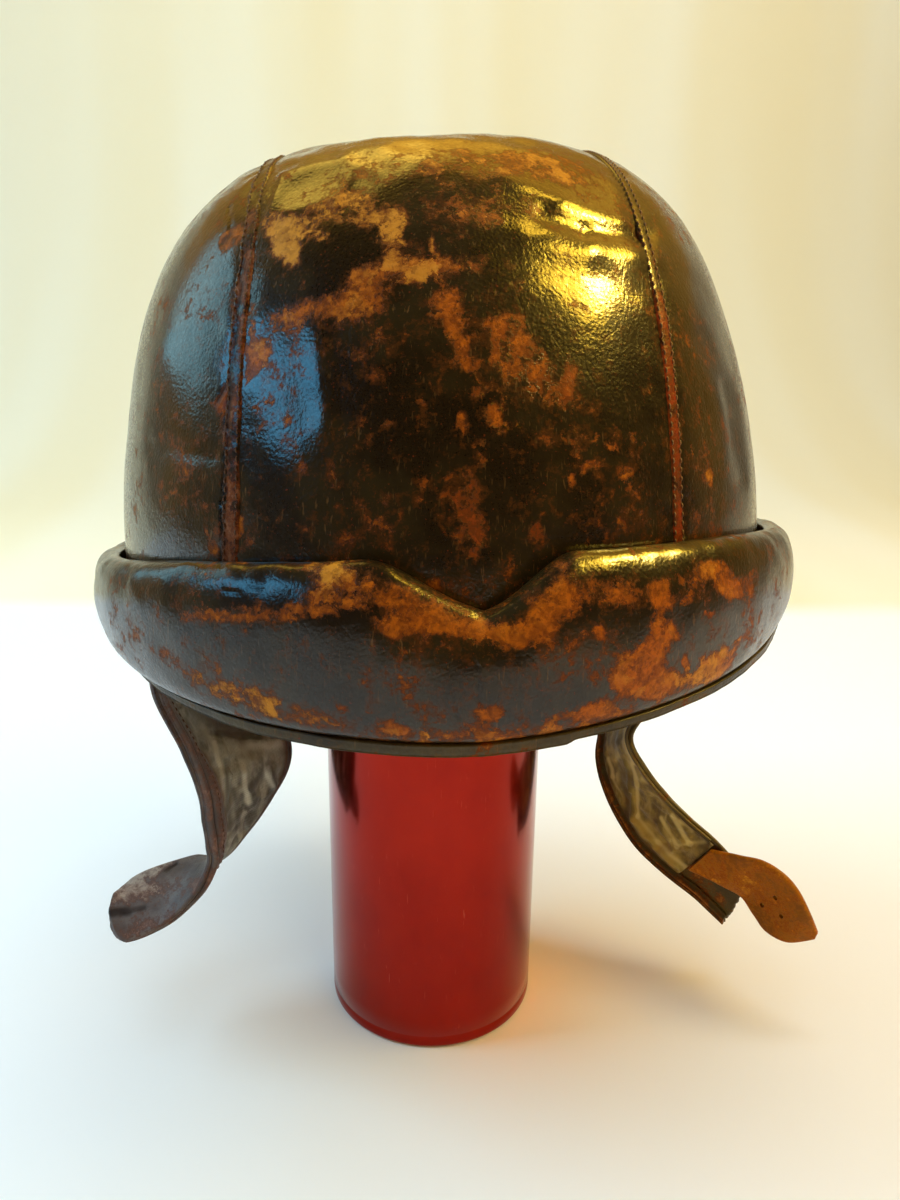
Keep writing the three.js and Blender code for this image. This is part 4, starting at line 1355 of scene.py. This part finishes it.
# A hem's section, from the flap's edge inwards: a bead over the edge, a groove, then the turned-over band.
# Its last column paints shade dark into the groove.
HEM_SECTION = table(
    "across rise worn crack",
    (0.0, 0.0, 0.35, 0.0),
    (0.12, 0.9, 0.62, 0.0),
    (0.24, 0.8, 0.70, 0.0),
    (0.36, -0.1, 0.30, 1.0),
    (0.46, 0.5, 0.40, 0.0),
    (0.66, 0.9, 0.58, 0.0),
    (0.86, 0.6, 0.42, 0.0),
    (1.0, 0.0, 0.25, 0.2),
)
# The right flap's lower edge is folded into three narrow layers, orange-red along their tops. Its last column
# paints shade dark between the layers.
LAYERED_HEM = table(
    "across rise worn crack",
    (0.0, 0.0, 0.20, 0.0),
    (0.14, 0.9, 0.35, 0.0),
    (0.26, 0.3, 0.20, 0.8),
    (0.40, 1.5, 0.85, 0.0),
    (0.54, 0.5, 0.30, 1.0),
    (0.72, 1.9, 0.85, 0.0),
    (0.88, 0.6, 0.40, 0.7),
    (1.0, 0.0, 0.30, 0.2),
)


def hem_marks(section, front):
    def marks_of(points, _normals, columns):
        if section is None:
            return plain_marks(points, 0.25)
        at = columns if front else 1 - columns
        worn = read_table(section, "across", "worn", at)[None, :] + 0.22 * rumple(points, 9.0, 63)
        # Painted shade, dark in the hem's grooves and between its layers.
        crack = np.clip(read_table(section, "across", "crack", at), 0, 1)[None, :] * 0.75 + 0 * worn
        return {"worn": np.clip(worn, 0, 1), "tone": -0.2 + 0.3 * rumple(points, 14.0, 64), "crack": crack}

    return marks_of


def hem_profile(section, front):
    return lambda columns: read_table(section, "across", "rise", columns if front else 1 - columns)


def declare_lining(lining, face, flap):
    length = np.linalg.norm(np.diff(face[:, face.shape[1] // 2], axis=0), axis=-1).sum()
    widths = np.linalg.norm(np.diff(face, axis=1), axis=-1).sum(axis=1)
    steps = np.linalg.norm(np.diff(face, axis=0), axis=-1).mean(axis=1)


NARROW_HEM = 4.0
FLAP_LOOKS = {
    "left": {"skin": FLAP_LEATHER, "cloth": LEFT_CLOTH, "rounding": 0.85, "section": HEM_SECTION},
    "right": {"skin": RIGHT_FLAP_LEATHER, "cloth": RIGHT_CLOTH, "rounding": 0.12, "section": LAYERED_HEM},
}
HEM_STITCH = {"pitch": 2.6, "length": 1.7, "radius": 0.22, "share": 0.68, "skipped_rows": 12}
HEM_COLUMNS, HEM_EDGE_COLUMNS = 26, 3


def make_flap(side, word):
    look, end = FLAP_LOOKS[word], flap_end(side)
    skin, rounding = look["skin"], look["rounding"]
    under_tab = TAB_START["along"] - 0.05
    front_hem, rear_hem = HEM_WIDTH[word + "_front"], HEM_WIDTH[word + "_rear"]
    flap, _, _ = flap_layer(
        "ear_flap_" + word, side, (0.0, end), (0.0, 0.0), 0.0, FLAP["leather"],
        skin, "leather", flap_leather_marks, 44, 71 + side, tear=0.3, rounding=rounding,
    )
    lining, face, _ = flap_layer(
        "ear_lining_" + word, side, (0.5, end - 1.5 if side < 0 else under_tab),
        (front_hem - LINING_LAP, LINING_LAP - rear_hem), FLAP["leather"] + 0.1, FLAP["lining"],
        look["cloth"], "cloth", lining_marks, 64, 76 + side, wrinkle=1.4,
    )
    declare_lining(lining, face, flap)
    for edge, hem, seed in (("front", front_hem, 81), ("rear", rear_hem, 86)):
        is_front = edge == "front"
        section = look["section"] if hem > NARROW_HEM else None
        _, face, normals = flap_layer(
            f"ear_hem_{word}_{edge}", side, (2.5, under_tab if side > 0 and is_front else end - 0.1),
            (0.15, hem) if is_front else (-hem, -0.15), FLAP["leather"] + 0.05, 1.3,
            skin, "leather", hem_marks(section, is_front), HEM_COLUMNS, seed + side,
            tear=0.25, rounding=rounding, profile=section and hem_profile(section, is_front),
        )
        if section is HEM_SECTION:
            share = HEM_STITCH["share"] if is_front else 1 - HEM_STITCH["share"]
            column = HEM_EDGE_COLUMNS + int(HEM_COLUMNS * share)
            rows = slice(HEM_STITCH["skipped_rows"], -HEM_STITCH["skipped_rows"])
            line, up = face[rows, column], normals[rows, column]
            paths = stitch_paths(line, up, HEM_STITCH["pitch"], HEM_STITCH["length"])
            make_threads(f"hem_stitches_{word}_{edge}", paths, HEM_STITCH["radius"], DARK_THREAD)


def tab_marks(points):
    worn = 0.52 + layered(points, (0.3, 13.0, 93), (0.15, 4.0, 94))
    tone = 0.1 + 0.5 * rumple(points, 20.0, 95)
    return {"worn": np.clip(worn, 0, 1), "tone": tone, "crack": 0 * worn}


def make_chin_tab():
    start = np.array([[TAB_START["upper"], TAB_START["lower"]]])
    first, inwards = flap_frame(1, np.array([[TAB_START["along"]]]), start)
    root = first[0] + inwards[0] * (FLAP["leather"] + FLAP["lining"] + 0.1)
    ends = np.array([root] + [np.array([row["upper"], row["lower"]]) for row in TAB])
    along = np.linspace(0, len(TAB), TAB_ROWS)
    edges = np.stack([through_points(ends, np.full(2, a)) for a in along])
    near_edge = np.array([0, 0.012, 0.035, 0.07])
    columns_at = np.concatenate([near_edge, np.linspace(0.11, 0.89, 42), [0.93, 0.965, 0.988, 1.0]])
    base = edges[:, :1] + (edges[:, 1:] - edges[:, :1]) * columns_at[None, :, None]
    normals = grid_normals(base)
    normals *= np.sign((normals * (EYE - base)).sum(-1).mean())
    width = np.linalg.norm(edges[:, 1] - edges[:, 0], axis=-1)[:, None]
    to_side = np.minimum(columns_at, 1 - columns_at) * width
    to_end = (len(TAB) - along)[:, None] * TAB_ROW_LENGTH
    half = TAB_THICKNESS / 2
    swell = normals * rounded(np.minimum(to_side, to_end), half)[..., None]
    middle = base + normals * (half + layered(base, (0.7, 18.0, 91), (0.25, 7.0, 92)))[..., None]
    near, far = middle + swell, middle - swell
    tab = make_shell("chin_tab", near, far, tab_marks(near), tab_marks(far), [TAB_LEATHER], "worn_leather")
    punch_holes(tab, ends)


def punch_holes(tab, ends):
    """Cuts the tab's round holes through its mesh."""
    cutters = []
    for row in TAB_HOLES:
        edge, ahead = (through_points(ends, np.full(2, row["along"] + step)) for step in (0, 0.05))
        centre = edge[0] + (edge[1] - edge[0]) * row["across"]
        axis = Vector(unit(np.cross(edge[1] - edge[0], (ahead - edge).mean(axis=0))))
        bpy.ops.mesh.primitive_cylinder_add(vertices=20, radius=row["radius"] * MM, depth=14 * MM)
        cutter = bpy.context.object
        turned = axis.to_track_quat("Z", "Y").to_matrix().to_4x4()
        cutter.matrix_world = Matrix.Translation(Vector(centre * MM)) @ turned
        cutters.append(cutter)
    for cutter in cutters:
        cut = tab.modifiers.new("hole", "BOOLEAN")
        cut.operation, cut.solver, cut.object = "DIFFERENCE", "EXACT", cutter
    bpy.context.view_layer.update()
    done = bpy.data.meshes.new_from_object(tab.evaluated_get(bpy.context.evaluated_depsgraph_get()))
    tab.modifiers.clear()
    tab.data = done
    for cutter in cutters:
        bpy.data.objects.remove(cutter)


# The stand
STAND = {"radius": 40.0, "height": 303.5, "edge": 1.5, "sides": 192}
# The groove near its foot: how deep and how high each of its points lies.
STAND_GROOVE = ((0.0, 4.0), (0.25, 4.5), (0.25, 4.9), (0.0, 5.4))


def make_stand():
    radius, top, edge = STAND["radius"], STAND["height"], STAND["edge"]
    bend = np.linspace(0, math.pi / 2, 7)
    corner = list(zip(radius - edge + edge * np.sin(bend), edge - edge * np.cos(bend)))
    groove = [(radius - depth, z) for depth, z in STAND_GROOVE]
    wall = [(radius, z) for z in np.linspace(12, top - 12, 14)]
    over = [(r, top - z) for r, z in reversed(corner)]
    middle, halfway = 0.01, radius * 0.6
    profile = [(middle, 0.0), (halfway, 0.0), *corner, *groove, *wall, *over, (halfway, top), (middle, top)]
    angles = np.linspace(0, 2 * math.pi, STAND["sides"], endpoint=False)
    r, z = np.array(profile).T[:, :, None]
    points = np.stack([r * np.cos(angles), r * np.sin(angles), z + 0 * angles], axis=-1)
    can = new_object("stand_can", points, tube_faces(len(profile), STAND["sides"]), [RED_TIN])
    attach(can, "root")
    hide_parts("stand")


# Floor, backdrop and light
STAGE = {"front": -2500, "bend_at": 900, "bend": 700, "top": 950, "half_width": 2800, "sunk": 0.2}
TABLE_EDGE = 0.47  # where the white table ends, in metres


def make_stage():
    """A pale cloth: a white table in front that runs into a cream backdrop."""
    f = Finish("pale_cloth", **{"Specular IOR Level": 0.1})
    place = f.split(f.places)
    wavy = f.add(place["Y"], f.times(f.noise(1.4, 2.0, 0.5), 0.16), f.times(place["X"], 0.05))
    beyond = f.band(wavy, TABLE_EDGE + 0.06, TABLE_EDGE + 0.12)
    # Painted shading of cloth folds: the cream backdrop runs lighter and darker in soft upright bands.
    folds = f.noise(1.0, 2.0, 0.5, f.stretched((3.2, 0.3, 0.35)))
    cream = f.mix(f.band(folds, 0.35, 0.65), (0.93, 0.82, 0.54), (0.96, 0.91, 0.72))
    shade = f.mix(beyond, (0.91, 0.945, 0.965), cream)
    material = f.finish(shade, 0.9, f.bump(f.noise(6.0, 3.0, 0.5), 6.0, 0.4))
    bend_at, bend = STAGE["bend_at"], STAGE["bend"]
    rows = [(y, 0.0) for y in (STAGE["front"], -1000, 0, bend_at)]
    for angle in np.linspace(0, math.pi / 2, 14)[1:]:
        rows.append((bend_at + bend * math.sin(angle), bend - bend * math.cos(angle)))
    rows.append((bend_at + bend, STAGE["top"]))
    xs = np.linspace(-STAGE["half_width"], STAGE["half_width"], 12)
    points = [(x, y, z - STAGE["sunk"]) for y, z in rows for x in xs]
    new_object("backdrop", points, quads(len(rows), len(xs)).tolist(), [material])


# Azimuth from the front towards the right and elevation over the floor are seen from the helmet. Distances
# and sizes are in metres. Strength is the light's own brightness, where 1 is white. Some lights show only in
# the gloss, and the others only fill.
LIGHTS = table(
    "name azimuth elevation distance width height strength tint seen_in",
    ("window", -73, 21.6, 1.5, 0.86, 0.36, 6.4, (0.13, 0.58, 1.0), "gloss"),
    ("window_back", -111, 21, 1.5, 0.70, 0.70, 2.4, (0.29, 0.79, 1.0), "gloss"),
    ("daylight", -100, 38, 1.6, 1.0, 0.8, 8.2, (0.53, 0.82, 1.0), "fill"),
    ("lamp", 78, 46, 1.1, 0.62, 0.36, 36.0, (1.0, 0.60, 0.04), "gloss"),
    ("lamp_core", 78, 43, 1.08, 0.18, 0.14, 120.0, (1.0, 0.82, 0.26), "gloss"),
    ("lamp_shade_top", 88, 67, 1.15, 0.24, 0.13, 22.0, (1.0, 0.58, 0.04), "gloss"),
    ("lamp_fill", 78, 43, 1.1, 0.5, 0.4, 6.6, (1.0, 0.64, 0.13), "fill"),
    ("back_glow", 150, 56, 1.3, 1.3, 0.7, 1.8, (1.0, 0.48, 0.03), "gloss"),
    ("back_left", -150, 58, 1.4, 0.9, 0.7, 3.2, (1.0, 0.66, 0.10), "gloss"),
    ("ceiling", 0, 80, 1.6, 1.6, 1.6, 2.4, (0.60, 0.84, 1.0), "fill"),
    ("room_fill", 36, 22, 1.6, 1.2, 0.9, 3.0, (1.0, 0.58, 0.18), "fill"),
)
HELMET_CENTRE = Vector((0.0, 0.0, 0.22))
# One more light stands over the helmet's right and washes the backdrop.
(BACKDROP_WASH,) = table(
    "name place target width height strength tint seen_in",
    ("backdrop_wash", (0.5, 0.25, 1.5), (0.5, 1.6, 0.35), 1.2, 0.4, 4.8, (1.0, 0.96, 0.84), "fill"),
)


def make_light(row, place, target):
    data = bpy.data.lights.new(row["name"], "AREA")
    data.shape = "RECTANGLE"
    data.size, data.size_y = row["width"], row["height"]
    data.energy = row["strength"] * math.pi * row["width"] * row["height"]
    data.color = row["tint"]
    light = bpy.data.objects.new(row["name"], data)
    light.location = place
    light.rotation_euler = (place - target).to_track_quat("Z", "Y").to_euler()
    light.visible_camera = False
    light.visible_glossy = row["seen_in"] == "gloss"
    light.visible_diffuse = row["seen_in"] == "fill"
    bpy.context.scene.collection.objects.link(light)


def make_lights():
    for row in LIGHTS:
        azimuth, elevation = math.radians(row["azimuth"]), math.radians(row["elevation"])
        level = math.cos(elevation) * row["distance"]
        way = (math.sin(azimuth) * level, -math.cos(azimuth) * level, math.sin(elevation) * row["distance"])
        make_light(row, HELMET_CENTRE + Vector(way), HELMET_CENTRE)
    make_light(BACKDROP_WASH, Vector(BACKDROP_WASH["place"]), Vector(BACKDROP_WASH["target"]))


ROOM = {"front": (0.085, 0.045, 0.012), "back": (0.66, 0.33, 0.045), "seen": (0.90, 0.85, 0.70)}


def make_world():
    """A dim room in front and a pale one behind; looked at from any side it is plain and pale."""
    world = bpy.data.worlds.new("room")
    world.use_nodes = True
    n = Nodes(world.node_tree)
    depth = n.split(n.put("ShaderNodeTexCoord").outputs["Generated"])["Y"]
    room = n.mix(n.band(depth, -0.15, 0.75), ROOM["front"], ROOM["back"])
    seen = n.mix(n.put("ShaderNodeLightPath").outputs["Is Camera Ray"], room, ROOM["seen"])
    n.feed(n.tree.nodes["Background"].inputs["Color"], seen)
    bpy.context.scene.world = world


bpy.context.scene.view_settings.view_transform = "Standard"
make_middle_panel()
make_side_panel(-1, "crown_left_panel")
make_side_panel(1, "crown_right_panel")
make_seam_strip(-1, "left")
make_seam_strip(1, "right")
make_brow_roll()
make_rim_binding()
make_flap(-1, "left")
make_flap(1, "right")
make_chin_tab()
make_stand()
make_stage()
make_lights()
make_world()
